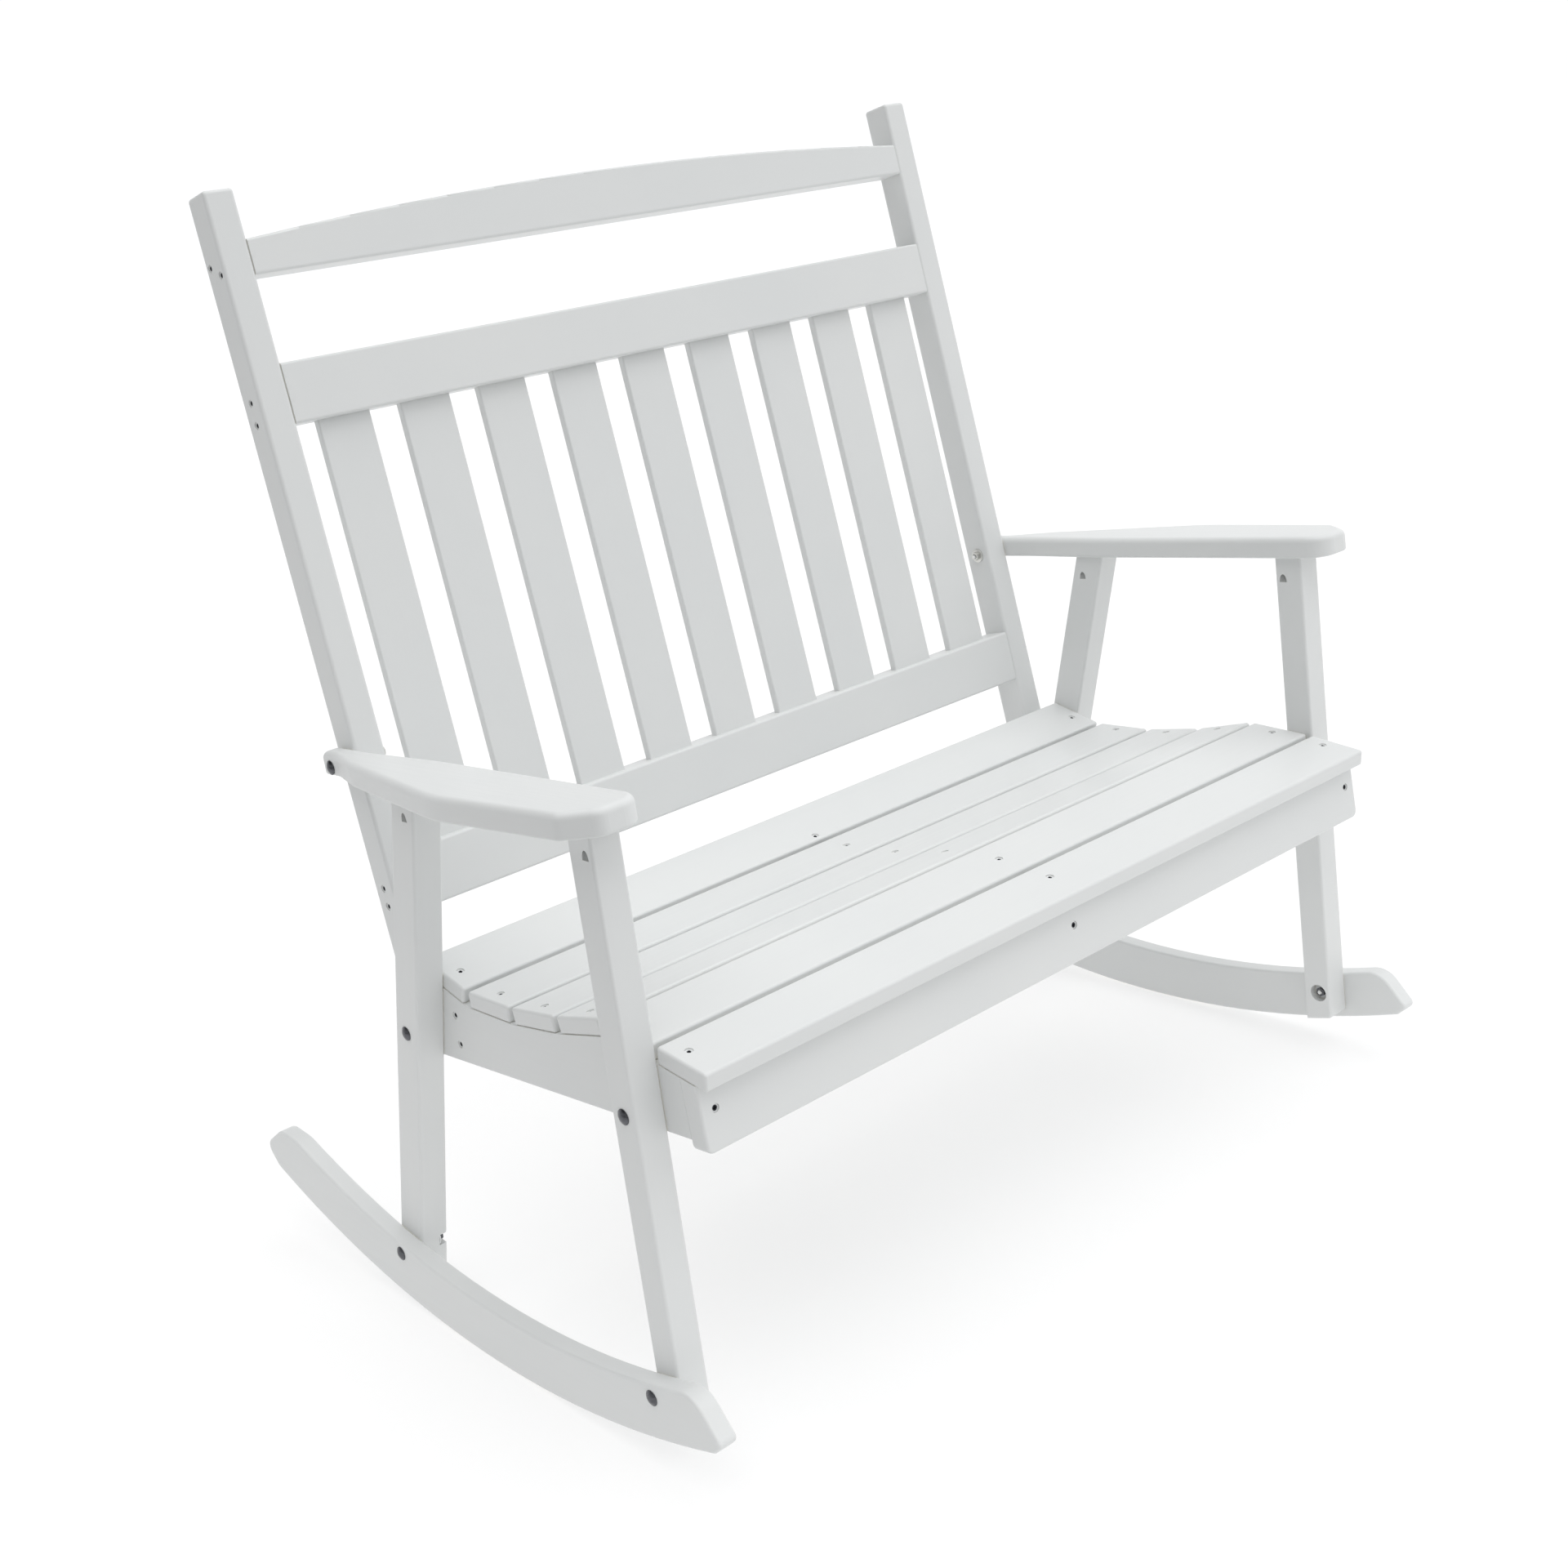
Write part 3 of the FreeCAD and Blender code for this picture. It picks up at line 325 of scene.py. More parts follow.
@dataclass(frozen=True)
class OversprayedSteel:
    """Steel under the bench's own sprayed white enamel, bare where it is buried, and dark as painted
    shade at the heads' middles.

    The spray coats the screws' heads, the walls of their countersinks, and the rockers' washers. The
    middle of most heads is coloured as dark bare steel, a small grey disc in a white ring a little
    below the wood: painted shade, for the shadow in the sunk head's hole.
    """

    name: str = "oversprayed_screws"
    slot: str = "painted_steel"
    white: str = "#DDDFDF"
    # the dark steel of the buried shank, and of the painted shade at each head's middle
    steel: str = "#434448"
    roughness: float = 0.45
    film_size: float = 1.2 * MM
    film_height: float = 0.02 * MM
    film_detail: float = 2.0

    def material(self) -> bpy.types.Material:
        """Makes the coated metal, on Object coordinates and the share of bare metal."""
        made, tree = start_material(self.name)
        place = add_node(tree, "TexCoord").outputs["Object"]
        pattern = {"Vector": place, "Scale": 1 / self.film_size, "Detail": self.film_detail}
        film = add_node(tree, "TexNoise", pattern).outputs["Fac"]
        bare = add_node(tree, "Attribute", attribute_name=BARE_OR_SHADE).outputs["Fac"]
        # Painted shade: where the attribute says so, the white goes to dark metal at the head's middle,
        # for the shadow in the sunk hole
        coats = {COLOUR_A: linear(self.white), COLOUR_B: linear(self.steel)}
        tone = add_node(tree, "Mix", {"Factor": bare, **coats}, data_type="RGBA")
        bump = add_node(tree, "Bump", {"Height": film, "Distance": self.film_height})
        shader = add_node(
            tree,
            "BsdfPrincipled",
            {
                "Base Color": tone.outputs[MIXED_COLOUR],
                "Metallic": bare,
                "Roughness": self.roughness,
                "Normal": bump.outputs["Normal"],
            },
        )
        add_node(tree, "OutputMaterial", {"Surface": shader.outputs["BSDF"]})
        return made


@dataclass(frozen=True)
class StudioFloor:
    """A matt diffusing floor lit from below, as a light table is, so that shadows stay pale.

    The lit table ends in front of the bench and to its left, where the photograph doesn't see it. A
    plain grey floor goes on from there, so that the faces on those sides stay darker.
    """

    colour: str = "#AAAAAA"
    fibre_colour: str = "#A8A8A8"
    unlit_colour: str = "#8E8E8E"
    edge_heading: float = 220.0  # degrees from +X towards +Y
    edge_near: float = 0.78
    edge_far: float = 2.4
    fibre_size: float = 4 * MM
    roughness: float = 0.9
    gloss: float = 0.1
    glow: float = 0.62
    glow_colour: str = "#FFFFFF"

    def material(self) -> bpy.types.Material:
        """Makes the floor's finish, on Object coordinates."""
        made, tree = start_material("lit_white_floor")
        place = add_node(tree, "TexCoord").outputs["Object"]
        fibre = add_node(tree, "TexNoise", {"Vector": place, "Scale": 1 / self.fibre_size})
        fibres = {COLOUR_A: linear(self.colour), COLOUR_B: linear(self.fibre_colour)}
        tone = add_node(tree, "Mix", {"Factor": fibre.outputs["Fac"], **fibres}, data_type="RGBA")
        heading = math.radians(self.edge_heading)
        outwards = (math.cos(heading), math.sin(heading), 0.0)
        across = add_node(tree, "VectorMath", {0: place, 1: outwards}, operation="DOT_PRODUCT")
        edge = {"Value": across.outputs["Value"], "From Min": self.edge_near, "From Max": self.edge_far}
        beyond = add_node(tree, "MapRange", edge, interpolation_type="SMOOTHSTEP").outputs["Result"]
        floors = {COLOUR_A: tone.outputs[MIXED_COLOUR], COLOUR_B: linear(self.unlit_colour)}
        colour = add_node(tree, "Mix", {"Factor": beyond, **floors}, data_type="RGBA")
        glow = add_node(tree, "Mix", {"Factor": beyond, "A": self.glow, "B": 0.0})
        shader = add_node(
            tree,
            "BsdfPrincipled",
            {
                "Base Color": colour.outputs[MIXED_COLOUR],
                "Roughness": self.roughness,
                "Specular IOR Level": self.gloss,
                "Emission Color": linear(self.glow_colour),
                "Emission Strength": glow.outputs["Result"],
            },
        )
        add_node(tree, "OutputMaterial", {"Surface": shader.outputs["BSDF"]})
        return made


BLACK_STEEL = PlatedSteel("blackened_steel", "dark_steel", "#4E4F52", "#6B6C70", 0.24)
ZINC_STEEL = PlatedSteel("zinc_plated_steel", "zinc_steel", "#CDCDC9", "#DADAD6", 0.38)
SPRAYED_STEEL = OversprayedSteel()


# Surfaces


def grid_faces(rows: int, columns: int, first: int = 0) -> np.ndarray:
    """Quads between the rows of a grid whose columns close round.

    Args:
        rows: Number of rings.
        columns: Number of vertices round a ring.
        first: Number of the first vertex.

    Returns:
        Four vertex numbers for each quad.
    """
    row, column = np.meshgrid(np.arange(rows - 1), np.arange(columns), indexing="ij")
    beside = (column + 1) % columns
    corners = (row * columns + column, (row + 1) * columns + column)
    across = ((row + 1) * columns + beside, row * columns + beside)
    return np.stack([*corners, *across], axis=-1).reshape(-1, 4) + first


@dataclass
class Surface:
    """Vertices and faces that grow piece by piece into one mesh."""

    places: list[np.ndarray]
    shares: list[np.ndarray]
    faces: list[list[int]]
    count: int = 0

    @classmethod
    def empty(cls) -> Surface:
        """A surface with nothing in it."""
        return cls([], [], [])

    def add_lathe(self, rings: np.ndarray, basis: Basis, bare: np.ndarray) -> None:
        """Adds a closed form given as rings between two poles.

        The first and last rings are poles: each is one vertex at its ring's mean, joined to the
        next ring by a fan of triangles. The rest are joined by quads.

        Args:
            rings: Local x, y and z of each ring's vertices, from the facing end to the far end.
            basis: Where the form goes.
            bare: The share of bare metal at each of those vertices, which on screw heads also holds
                painted shade.
        """
        inner = rings[1:-1]
        rows, columns = inner.shape[:2]
        poles = rings[[0, -1]].mean(axis=1)
        local = np.concatenate([inner.reshape(-1, 3), poles])
        self.places.append(basis.place(local))
        self.shares.append(np.concatenate([bare[1:-1].ravel(), bare[[0, -1]].mean(axis=1)]))
        first, last = self.count, self.count + (rows - 1) * columns
        top, bottom = last + columns, last + columns + 1
        around = np.arange(columns)
        beside = (around + 1) % columns
        crown = np.stack([np.full(columns, top), first + around, first + beside], axis=-1)
        foot = np.stack([np.full(columns, bottom), last + beside, last + around], axis=-1)
        self.faces += [*grid_faces(rows, columns, first).tolist(), *crown.tolist(), *foot.tolist()]
        self.count += len(local)

    def add_ring(self, rings: np.ndarray, basis: Basis) -> None:
        """Adds a form with a hole through it, given as rings that close on themselves.

        Args:
            rings: Local x, y and z of each ring's vertices, round the section and back to its start.
            basis: Where the form goes.
        """
        rows, columns = rings.shape[:2]
        self.places.append(basis.place(rings.reshape(-1, 3)))
        self.shares.append(np.zeros(rows * columns))
        quads = grid_faces(rows + 1, columns)
        self.faces += (quads % (rows * columns) + self.count).tolist()
        self.count += rows * columns

    def build(self, name: str, finish: PlatedSteel | OversprayedSteel, *nodes: str) -> bpy.types.Object:
        """Makes the mesh, rides it on the bench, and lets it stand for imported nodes.

        Args:
            name: The piece's name.
            finish: Its finish, which knows the record's slot.
            *nodes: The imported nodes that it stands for.

        Returns:
            The piece.
        """
        mesh = bpy.data.meshes.new(name)
        mesh.from_pydata(np.concatenate(self.places).tolist(), [], self.faces)
        share = mesh.attributes.new(BARE_OR_SHADE, "FLOAT", "POINT")
        share.data.foreach_set("value", np.concatenate(self.shares).astype(np.float32))
        mesh.materials.append(bpy.data.materials.get(finish.name) or finish.material())
        mesh.polygons.foreach_set("use_smooth", np.ones(len(mesh.polygons), bool))
        mesh.set_sharp_from_angle(angle=math.radians(SHARP_EDGE))
        mesh.validate()
        piece = bpy.data.objects.new(name, mesh)
        bpy.context.scene.collection.objects.link(piece)
        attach(piece, BODY)
        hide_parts(*nodes)
        LOG.info("%s stands for %s: %d faces", name, ", ".join(nodes), len(mesh.polygons))
        return piece


@dataclass(frozen=True)
class Basis:
    """Where a fastener goes: its head's middle, and the way that the head faces."""

    head: np.ndarray
    facing: np.ndarray

    def place(self, local: np.ndarray) -> np.ndarray:
        """Carries local points to the bench.

        Local z runs along the facing. Local x is square to it and to whichever of Y and Z is
        further from it, and local y completes a right-handed set.

        Args:
            local: Points of the fastener about its head.

        Returns:
            The points in the frame's axes.
        """
        other = np.eye(3)[1 if abs(self.facing[1]) < abs(self.facing[2]) else 2]
        across = np.cross(other, self.facing)
        across /= np.linalg.norm(across)
        up = np.cross(self.facing, across)
        return self.head + local @ np.stack([across, up, self.facing])


def rings_of(radius: np.ndarray, height: np.ndarray) -> np.ndarray:
    """Rings about local z: each vertex lies at (r cos a, r sin a, z), with a in equal steps.

    Args:
        radius: Radius of each vertex, ring by ring.
        height: Height of each vertex or of each ring.

    Returns:
        Local x, y and z, ring by ring.
    """
    angle = np.arange(radius.shape[1]) * (2 * math.pi / radius.shape[1])
    level = np.broadcast_to(height, radius.shape)
    return np.stack([radius * np.cos(angle), radius * np.sin(angle), level], axis=-1)


def turned(profile: np.ndarray, sides: int) -> np.ndarray:
    """Rings of a turned form, one for each point of its profile.

    Args:
        profile: Radius and height of each ring.
        sides: Vertices in each ring.

    Returns:
        Local x, y and z, ring by ring.
    """
    radius, height = profile[:, :1], profile[:, 1:]
    return rings_of(np.broadcast_to(radius, (len(profile), sides)), height)


def winding(height: np.ndarray, sides: int, pitch: float) -> np.ndarray:
    """How near each vertex of a thread is to its root: 0 on the crest and 1 in the root.

    It is a triangle wave of z over the pitch less a over a turn, so that the crests form a helix.

    Args:
        height: Height of each ring, as a column.
        sides: Vertices in each ring.
        pitch: The thread's pitch.

    Returns:
        A share for each vertex.
    """
    turn = (np.arange(sides) / sides)[None, :]
    return np.abs(((height / pitch - turn) % 1.0) - 0.5) * 2


def solids_in(node: bpy.types.Object) -> list[np.ndarray]:
    """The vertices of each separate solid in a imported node.

    The node's triangles are loose, so vertices within a hundredth of a millimetre count as one.
    Every vertex starts with its own label and takes the lowest label of its triangles, again and
    again, until none changes: each solid then has one label.

    Args:
        node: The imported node's object.

    Returns:
        The places of each solid's vertices.
    """
    mesh = node.data
    places = np.empty(len(mesh.vertices) * 3, np.float32)
    mesh.vertices.foreach_get("co", places)
    welded = np.round(places.reshape(-1, 3).astype(float), WELD_DECIMALS)
    spots, same = np.unique(welded, axis=0, return_inverse=True)
    mesh.calc_loop_triangles()
    corners = np.empty(len(mesh.loop_triangles) * 3, np.int32)
    mesh.loop_triangles.foreach_get("vertices", corners)
    triangles = same.reshape(-1)[corners].reshape(-1, 3)
    labels = np.arange(len(spots))
    while True:
        spread = labels.copy()
        np.minimum.at(spread, triangles.ravel(), np.repeat(labels[triangles].min(axis=1), 3))
        if (spread == labels).all():
            return [spots[labels == label] for label in np.unique(labels)]
        labels = spread


# Fasteners


@dataclass(frozen=True)
class Shaft:
    """One bolt or screw read from the frame: its place, its length, and its head's radius."""

    basis: Basis
    length: float
    head_radius: float

    @classmethod
    def read(cls, points: np.ndarray) -> Shaft:
        """Reads a bolt or screw from its solid's vertices.

        Its line is the direction in which the points spread the most. The end whose points lie
        further from that line is the head.

        Args:
            points: The solid's vertices.

        Returns:
            The shaft, with its head's middle at its top.
        """
        middle = points.mean(axis=0)
        line = np.linalg.svd(points - middle, full_matrices=False)[2][0]
        along = (points - middle) @ line
        off = np.linalg.norm(points - middle - np.outer(along, line), axis=1)
        if along[np.argmax(off)] < (along.min() + along.max()) / 2:
            line, along = -line, -along
        return cls(Basis(middle + line * along.max(), line), float(np.ptp(along)), float(off.max()))


@dataclass
class CarriageBolts:
    """Round-headed bolts through two pieces of wood, with their washers and nuts."""

    joint: str
    dome_height: float = 3.6 * MM
    dome_rings: int = 9
    rim_height: float = 0.7 * MM
    rim_slope: float = 0.25
    underside: float = 0.97
    shank_radius: float = 3 * MM
    thread_pitch: float = 1.0 * MM
    thread_depth: float = 0.32 * MM
    thread_length: float = 13 * MM
    rings_a_turn: int = 5
    end_chamfer: float = 0.9 * MM
    end_share: float = 0.75
    cut_end: float = 1.2 * MM
    sides: int = 32
    washer_bore: float = 3.2 * MM
    washer_softness: float = 0.4
    washer_bend: float = 0.3
    washer_sides: int = 36
    nut_bore: float = 2.75 * MM
    nut_mouth: float = 0.4 * MM
    nut_levels: tuple[float, ...] = (0.0, 0.08, 0.17, 0.83, 0.92, 1.0)
    nut_bore_levels: tuple[float, ...] = (1.0, 0.88, 0.12, 0.0)
    nut_face: float = 0.98
    nut_chamfer: float = 1.9
    nut_sides: int = 60

    def dome(self, radius: float) -> np.ndarray:
        """The head's profile from its crown to its underside.

        The crown is a parabola: at a share t of the radius it has fallen by the square of t of its
        own height. A short sloping rim follows, and a slightly narrower underside.

        Args:
            radius: The head's radius.

        Returns:
            Radius and height of each ring.
        """
        share = np.linspace(0.0, 1.0, self.dome_rings)
        crown = np.stack([radius * share, -(self.dome_height - self.rim_height) * share**2], axis=-1)
        rim = (radius, -self.dome_height + self.rim_slope * self.rim_height)
        return np.concatenate([crown, [rim, (radius * self.underside, -self.dome_height)]])

    def bolt(self, shaft: Shaft) -> np.ndarray:
        """The bolt's rings: its dome, its plain shank, and a thread that winds down to its end.

        Args:
            shaft: The bolt as the frame has it.

        Returns:
            Local x, y and z, ring by ring.
        """
        start = self.thread_length - shaft.length
        steps = int(self.thread_length / self.thread_pitch * self.rings_a_turn)
        height = np.linspace(start, -shaft.length, steps)[:, None]
        root = winding(height, self.sides, self.thread_pitch)
        inner = smooth((height + shaft.length) / self.end_chamfer)
        chamfer = self.end_share + (1 - self.end_share) * inner
        thread = rings_of((self.shank_radius - self.thread_depth * root) * chamfer, height)
        neck = np.array([[self.shank_radius, -self.dome_height], [self.shank_radius, start]])
        head = np.concatenate([self.dome(shaft.head_radius), neck])
        tip = np.array([[0.0, -shaft.length]])
        return np.concatenate([turned(head, self.sides), thread, turned(tip, self.sides)])

    def washer(self, radius: float, thickness: float) -> np.ndarray:
        """A flat ring stamped with a soft upper edge.

        Args:
            radius: Its outer radius.
            thickness: Its thickness.

        Returns:
            Local x, y and z, round the section and back.
        """
        soft = thickness * self.washer_softness
        bend = soft * self.washer_bend
        section = np.array(
            [
                [self.washer_bore, 0.0],
                [self.washer_bore, thickness],
                [radius - soft, thickness],
                [radius - bend, thickness - bend],
                [radius, thickness - soft],
                [radius, 0.0],
            ]
        )
        return turned(section[::-1], self.washer_sides)

    def nut(self, flats: float, height: float) -> np.ndarray:
        """A hexagon nut with chamfered corners.

        Round the outside the radius is the half width over flats divided by the cosine of the angle
        from the nearest flat's middle. At each end a cone holds it: the cone starts a little inside
        the flats and widens away from the end, which cuts the corners into the curved edges that
        nuts have.

        Args:
            flats: Its width over flats.
            height: Its height.

        Returns:
            Local x, y and z, round the section and back.
        """
        apothem, sixth = flats / 2, math.pi / 3
        angle = np.arange(self.nut_sides) * (2 * math.pi / self.nut_sides)
        hexagon = apothem / np.cos((angle + sixth / 2) % sixth - sixth / 2)
        levels = np.array(self.nut_levels)[:, None] * height
        cone = apothem * self.nut_face + np.minimum(levels, height - levels) * self.nut_chamfer
        outside = np.minimum(hexagon[None, :], cone)
        bore, mouth = self.nut_bore, self.nut_bore + self.nut_mouth
        all_round = np.ones((1, self.nut_sides))
        inside = np.array([mouth, bore, bore, mouth])[:, None] * all_round
        inner_levels = np.array(self.nut_bore_levels)[:, None] * height
        radius = np.concatenate([outside, inside])
        return rings_of(radius, np.concatenate([levels, inner_levels]))[::-1]

    def build(
        self,
        nodes: dict[str, bpy.types.Object],
        washer_finish: PlatedSteel | OversprayedSteel,
        nut_finish: PlatedSteel,
    ) -> None:
        """Builds the joint's bolts, washers and nuts at their packed places.

        Args:
            nodes: The frame's nodes.
            washer_finish: The washers' finish.
            nut_finish: The nuts' finish.
        """
        bolts, washers, nuts = Surface.empty(), Surface.empty(), Surface.empty()
        for points in solids_in(nodes[f"{self.joint}_bolts"]):
            shaft = Shaft.read(points)
            rings = self.bolt(shaft)
            cut = (rings[..., 2] < self.cut_end - shaft.length).astype(float)
            bolts.add_lathe(rings, shaft.basis, cut)
        for surface, kind in ((washers, "washers"), (nuts, "nuts")):
            for points in solids_in(nodes[f"{self.joint}_{kind}"]):
                low, high = points.min(axis=0), points.max(axis=0)
                middle = (low + high) / 2
                inwards = np.array([-np.sign(middle[0]), 0.0, 0.0])
                seat = middle - inwards * (high[0] - low[0]) / 2
                if kind == "washers":
                    rings = self.washer((high[1] - low[1]) / 2, high[0] - low[0])
                else:
                    rings = self.nut(min(high[1] - low[1], high[2] - low[2]), high[0] - low[0])
                surface.add_ring(rings, Basis(seat, inwards))
        bolts.build(f"{self.joint}_bolts_domed", BLACK_STEEL, f"{self.joint}_bolts")
        washers.build(f"{self.joint}_washers_stamped", washer_finish, f"{self.joint}_washers")
        nuts.build(f"{self.joint}_nuts_hexagon", nut_finish, f"{self.joint}_nuts")


@dataclass
class WoodScrews:
    """Countersunk wood screws with a cross recess, sunk below the wood's face and sprayed over.

    The middle of most heads is coloured as dark bare steel: painted shade, for the shadow in the sunk
    head's hole. The field after the joint is that disc's share of the head's radius.
    """

    joint: str
    shade_disc: float
    recess_reach: float = 2.3 * MM
    recess_width: float = 1.1 * MM
    recess_depth: float = 1.5 * MM
    recess_wall: float = 0.35 * MM
    recess_run: float = 0.8 * MM
    head_rings: int = 12
    head_edge: float = 0.25 * MM
    neck_depth: float = 2.4 * MM
    neck_rise: float = 0.4 * MM
    core: float = 1.5 * MM
    thread_start: float = 3 * MM
    thread_pitch: float = 2.0 * MM
    thread_rise: float = 0.45 * MM
    rings_a_turn: int = 4
    point_length: float = 6 * MM
    point_blunt: float = 0.4 * MM
    point_share: float = 0.1
    bare_depth: float = 2.0 * MM
    shade_disc_edge: float = 0.5 * MM
    sides: int = 32

    def top(self, radius: float) -> np.ndarray:
        """The flat head with its cross pressed in.

        A point (x, y) sinks by the recess's depth where it lies inside one of two bars square to
        each other: near enough to an axis, and not past the bar's end. Both limits are eased, and
        the recess grows shallower outwards, as the driver's cone leaves it.

        Args:
            radius: The head's radius.

        Returns:
            Local x, y and z, ring by ring.
        """
        share = np.linspace(0.0, 1.0, self.head_rings)[:, None]
        flat = rings_of(np.broadcast_to(share * radius, (self.head_rings, self.sides)), np.zeros(1))
        reach = np.sort(np.abs(flat[..., :2]), axis=-1)
        across = smooth((self.recess_width / 2 - reach[..., 0]) / self.recess_wall + 0.5)
        along = smooth((self.recess_reach - reach[..., 1]) / self.recess_run)
        flat[..., 2] = -self.recess_depth * across * along
        return flat

    def screw(self, shaft: Shaft) -> np.ndarray:
        """The screw's rings: its head, its cone, and a coarse thread that fades into the point.

        Args:
            shaft: The screw as the frame has it.

        Returns:
            Local x, y and z, ring by ring.
        """
        cone = np.array(
            [[shaft.head_radius, -self.head_edge], [self.core + self.neck_rise, -self.neck_depth]]
        )
        steps = int((shaft.length - self.thread_start) / self.thread_pitch * self.rings_a_turn)
        height = np.linspace(-self.thread_start, self.point_blunt - shaft.length, steps)[:, None]
        crest = 1 - winding(height, self.sides, self.thread_pitch)
        inner = smooth((height + shaft.length) / self.point_length)
        taper = self.point_share + (1 - self.point_share) * inner
        thread = rings_of((self.core + self.thread_rise * crest**3) * taper, height)
        tip = np.array([[0.0, -shaft.length]])
        head = np.concatenate([self.top(shaft.head_radius), turned(cone, self.sides)])
        return np.concatenate([head, thread, turned(tip, self.sides)])

    def bare_and_shade_share(self, rings: np.ndarray, head_radius: float) -> np.ndarray:
        """The share of bare metal below the head, and of painted shade in the head's middle disc, eased
        at its edge.

        Args:
            rings: The screw's rings.
            head_radius: The head's radius.

        Returns:
            A share for each vertex.
        """
        off = np.hypot(rings[..., 0], rings[..., 1])
        # Painted shade: a dark steel disc at the head's middle, for the shadow in the sunk head's hole
        disc = smooth((self.shade_disc * head_radius - off) / self.shade_disc_edge + 0.5)
        below = rings[..., 2] < -self.bare_depth
        return np.where(below, 1.0, disc)

    def build(self, nodes: dict[str, bpy.types.Object]) -> None:
        """Builds the joint's screws at their packed places.

        Args:
            nodes: The frame's nodes.
        """
        node = f"{self.joint}_screws"
        screws = Surface.empty()
        for points in solids_in(nodes[node]):
            shaft = Shaft.read(points)
            rings = self.screw(shaft)
            screws.add_lathe(rings, shaft.basis, self.bare_and_shade_share(rings, shaft.head_radius))
        screws.build(f"{node}_countersunk", SPRAYED_STEEL, node)


# Wood


@dataclass
class WoodenPieces:
    """A sub-assembly of packed wooden pieces that share the run of their grain."""

    names: Sequence[str]
    grain: Grain

    def dress(self, nodes: dict[str, bpy.types.Object], paint: PaintedPine) -> None:
        """Paints the pieces.

        Args:
            nodes: The frame's nodes.
            paint: Their finish.
        """
        known = bpy.data.materials.get(f"white_enamel_{self.grain.name.lower()}")
        material = known or paint.material(self.grain)
        for name in self.names:
            for slot in nodes[name].material_slots:
                slot.material = material
        LOG.info("painted %s, grain %s", ", ".join(self.names), self.grain.name.lower())


class Rockers(WoodenPieces):
    """The two curved runners, sawn from planks that lie fore and aft."""

    def __init__(self) -> None:
        """Names the runners."""
        super().__init__(("rocker_left", "rocker_right"), Grain.FORE_AND_AFT)


class FrontLegs(WoodenPieces):
    """The two upright front legs."""

    def __init__(self) -> None:
        """Names the front legs."""
        super().__init__(("front_leg_left", "front_leg_right"), Grain.UPRIGHT)


class RearLegs(WoodenPieces):
    """The two splayed rear legs."""

    def __init__(self) -> None:
        """Names the rear legs."""
        super().__init__(("rear_leg_left", "rear_leg_right"), Grain.REAR_LEG)


class Arms(WoodenPieces):
    """The two shaped arm boards."""

    def __init__(self) -> None:
        """Names the arms."""
        super().__init__(("arm_left", "arm_right"), Grain.ARM)


class SeatRails(WoodenPieces):
    """The three contoured rails under the seat boards."""

    def __init__(self) -> None:
        """Names the rails that run fore and aft."""
        super().__init__(("side_rail_left", "side_rail_right", "middle_rail"), Grain.FORE_AND_AFT)


class SeatBoards(WoodenPieces):
    """The seat boards with the apron and the rear rail, which all run across."""

    def __init__(self, count: int = 6) -> None:
        """Names the boards.

        Args:
            count: How many seat boards there are.
        """
        boards = [f"seat_board_{number}" for number in range(1, count + 1)]
        super().__init__((*boards, "front_apron", "rear_rail"), Grain.ACROSS)


class BackRails(WoodenPieces):
    """The crest and the two straight rails of the back."""

    def __init__(self) -> None:
        """Names the back's rails."""
        super().__init__(("crest_rail", "upper_back_rail", "lower_back_rail"), Grain.ACROSS)


class BackUprights(WoodenPieces):
    """The posts and the slats, which lean together."""

    def __init__(self, count: int = 9) -> None:
        """Names the posts and slats.

        Args:
            count: How many slats there are.
        """
        slats = [f"back_slat_{number}" for number in range(1, count + 1)]
        super().__init__(("back_post_left", "back_post_right", *slats), Grain.BACK)


# Studio


@dataclass(frozen=True)
class PhotoCamera:
    """The camera of the photograph: its place, its turns, and its lens on a 36 mm sensor.

    Its turns are in degrees. Its focal length and the middle of its picture are in pixels of the
    square frame.
    """

    place: tuple[float, float, float] = (-1.3974, -1.6005, 1.1117)
    heading: float = -36.76
    pitch: float = -14.36
    roll: float = -8.63
    frame: float = 1920.0
    focal: float = 2412.11
    middle: tuple[float, float] = (817.62, 865.20)
    sensor: float = 36.0
    sight: float = 200.0

    def build(self) -> bpy.types.Object:
        """Makes the camera the scene's own."""
        data = bpy.data.cameras.new("photo_camera")
        data.sensor_width = self.sensor
        data.lens = self.focal * self.sensor / self.frame
        data.shift_x = 0.5 - self.middle[0] / self.frame
        data.shift_y = self.middle[1] / self.frame - 0.5
        data.clip_end = self.sight
        camera = bpy.data.objects.new("photo_camera", data)
        bpy.context.scene.collection.objects.link(camera)
        turn = Matrix.Rotation(math.radians(self.heading), 4, "Z")
        tilt = Matrix.Rotation(math.radians(90.0 + self.pitch), 4, "X")
        lean = Matrix.Rotation(math.radians(self.roll), 4, "Z")
        camera.matrix_world = Matrix.Translation(self.place) @ turn @ tilt @ lean
        bpy.context.scene.camera = camera
        return camera


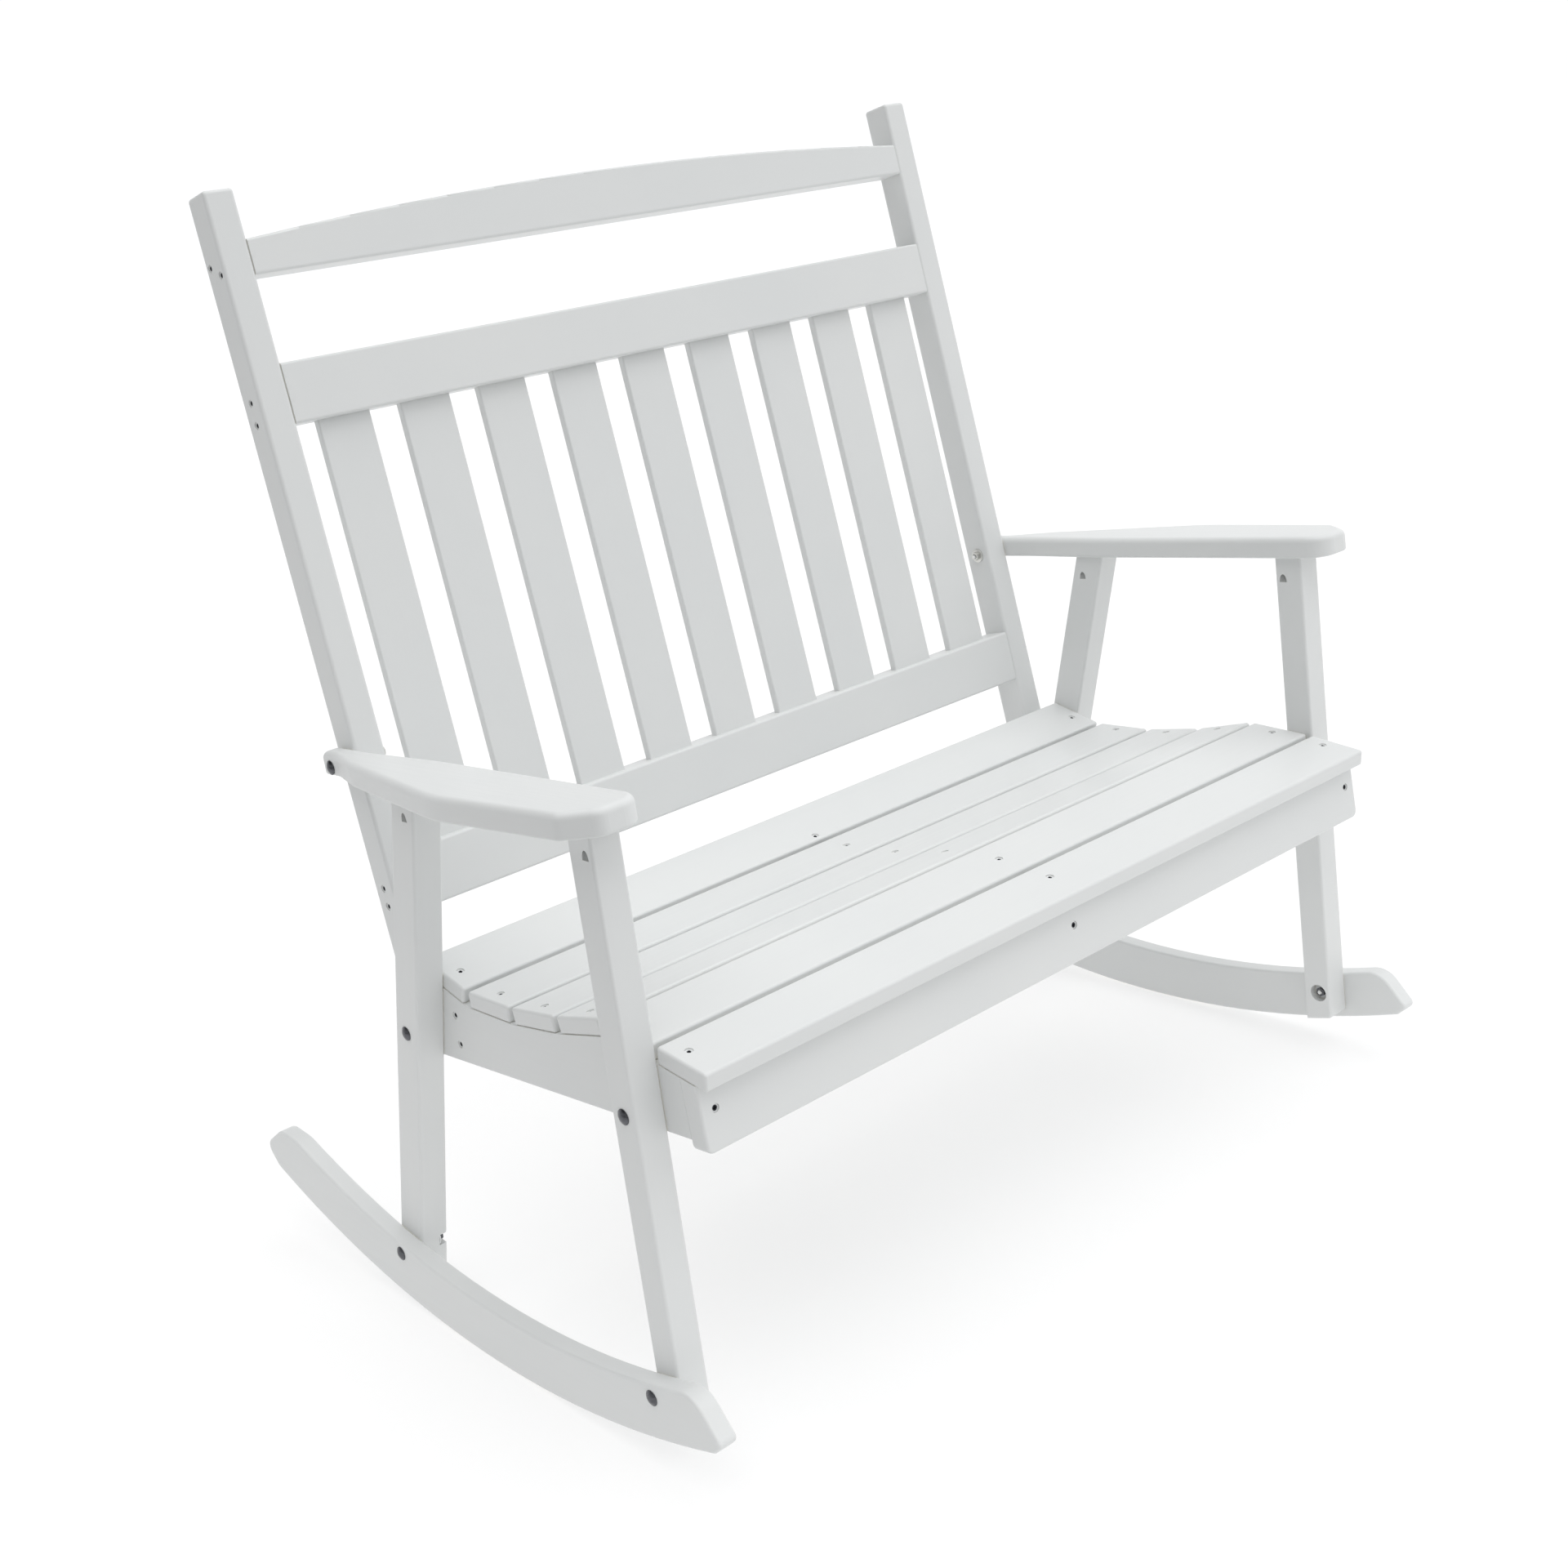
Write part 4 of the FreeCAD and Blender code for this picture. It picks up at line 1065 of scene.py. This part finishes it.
@dataclass
class Studio:
    """A white floor, a soft surround, and a wide hazy light overhead.

    The surround is a dome, given by its level, its three slopes and its dimmest, and a backdrop,
    given by its level and two slopes. Between two heights of a direction, from 0 at the horizon to 1
    overhead, the backdrop fades into the dome.
    """

    floor_reach: float = 60.0
    floor_cells: int = 20
    level: float = 0.99
    rightwards: float = 0.53
    backwards: float = -0.53
    upwards: float = -0.8
    dimmest: float = 0.05
    backdrop: float = 0.75
    backdrop_right: float = 0.18
    backdrop_back: float = 0.25
    backdrop_top: float = 0.17
    dome_foot: float = 0.42
    tint: str = "#FDFEFF"
    light_from: tuple[float, float, float] = (-0.08, -0.06, 1.0)
    light_spread: float = 80.0
    light_power: float = 2.04

    def floor(self) -> bpy.types.Object:
        """Lays the floor: a grid whose lines crowd towards the bench, by the cube of their share."""
        line = np.linspace(-1.0, 1.0, self.floor_cells + 1) ** 3 * self.floor_reach
        x, y = np.meshgrid(line, line, indexing="ij")
        places = np.stack([x, y, np.zeros_like(x)], axis=-1).reshape(-1, 3)
        number = np.arange(len(places)).reshape(x.shape)
        corners = (number[:-1, :-1], number[1:, :-1], number[1:, 1:], number[:-1, 1:])
        faces = np.stack(corners, axis=-1).reshape(-1, 4)
        mesh = bpy.data.meshes.new("studio_floor")
        mesh.from_pydata(places.tolist(), [], faces.tolist())
        mesh.materials.append(StudioFloor().material())
        ground = bpy.data.objects.new("studio_floor", mesh)
        bpy.context.scene.collection.objects.link(ground)
        return ground

    def surround(self) -> None:
        """Lights the scene from all round.

        Near the horizon the surround is a pale backdrop, brightest behind the bench as the photograph
        sees it. Above it comes a dome that is brightest in front and to the right, and dims upwards.
        The brightness of either in a direction is a level plus the dot product of the direction and
        a slope, and the dome never goes below its dimmest. The direction's height fades one into
        the other.
        """
        world = bpy.data.worlds.new("soft_surround")
        world.use_nodes = True
        tree = world.node_tree
        tree.nodes.clear()
        direction = add_node(tree, "TexCoord").outputs["Generated"]
        height = add_node(tree, "SeparateXYZ", {"Vector": direction}).outputs["Z"]
        rise = {"Value": height, "From Min": self.backdrop_top, "From Max": self.dome_foot}
        above = add_node(tree, "MapRange", rise, interpolation_type="SMOOTHSTEP").outputs["Result"]
        backdrop_slope = (self.backdrop_right, self.backdrop_back, 0.0)
        dome_slope = (self.rightwards, self.backwards, self.upwards)
        glows = []
        for level, slope in ((self.backdrop, backdrop_slope), (self.level, dome_slope)):
            share = add_node(tree, "VectorMath", {0: direction, 1: slope}, operation="DOT_PRODUCT")
            glow = add_node(tree, "Math", {0: share.outputs["Value"], 1: level}, operation="ADD")
            glows.append(glow.outputs["Value"])
        backdrop, dome = glows
        lit = add_node(tree, "Math", {0: dome, 1: self.dimmest}, operation="MAXIMUM")
        both = {"Factor": above, "A": backdrop, "B": lit.outputs["Value"]}
        bright = add_node(tree, "Mix", both).outputs["Result"]
        light = add_node(tree, "Background", {"Color": linear(self.tint), "Strength": bright})
        add_node(tree, "OutputWorld", {"Surface": light.outputs["Background"]})
        bpy.context.scene.world = world

    def hazy_light(self) -> bpy.types.Object:
        """Hangs one wide light that is as strong on the far floor as on the bench."""
        data = bpy.data.lights.new("hazy_light", "SUN")
        data.angle = math.radians(self.light_spread)
        data.energy = self.light_power
        lamp = bpy.data.objects.new("hazy_light", data)
        bpy.context.scene.collection.objects.link(lamp)
        lamp.location = self.light_from
        lamp.rotation_mode = "QUATERNION"
        lamp.rotation_quaternion = (-Vector(self.light_from)).to_track_quat("-Z", "Y")
        return lamp

    def build(self) -> None:
        """Sets up the floor, the lights, and plain tones without a film curve."""
        self.floor()
        self.surround()
        self.hazy_light()
        bpy.context.scene.view_settings.view_transform = "Standard"


def main() -> None:
    """Builds the bench's looks in the order in which it is put together."""
    logging.basicConfig(level=logging.INFO, format="%(name)s: %(message)s")
    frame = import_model()
    nodes = frame["nodes"]
    paint = PaintedPine()
    lower = (Rockers(), FrontLegs(), RearLegs(), Arms())
    upper = (SeatRails(), SeatBoards(), BackUprights(), BackRails())
    for pieces in (*lower, *upper):
        pieces.dress(nodes, paint)
    CarriageBolts("rocker").build(nodes, SPRAYED_STEEL, BLACK_STEEL)
    CarriageBolts("rail").build(nodes, ZINC_STEEL, ZINC_STEEL)
    CarriageBolts("arm").build(nodes, ZINC_STEEL, ZINC_STEEL)
    # Each joint's screws get a dark disc of painted shade at their heads' middles, given as a share of
    # the head's radius
    for joint in ("rear_rail", "middle_rail", "back_rail", "post_foot"):
        WoodScrews(joint, shade_disc=0.62).build(nodes)
    WoodScrews("apron", shade_disc=0.7).build(nodes)
    WoodScrews("seat_board", shade_disc=0.5).build(nodes)
    WoodScrews("arm_toe", shade_disc=0.0).build(nodes)
    Studio().build()
    PhotoCamera().build()


if __name__ == "__main__":
    main()
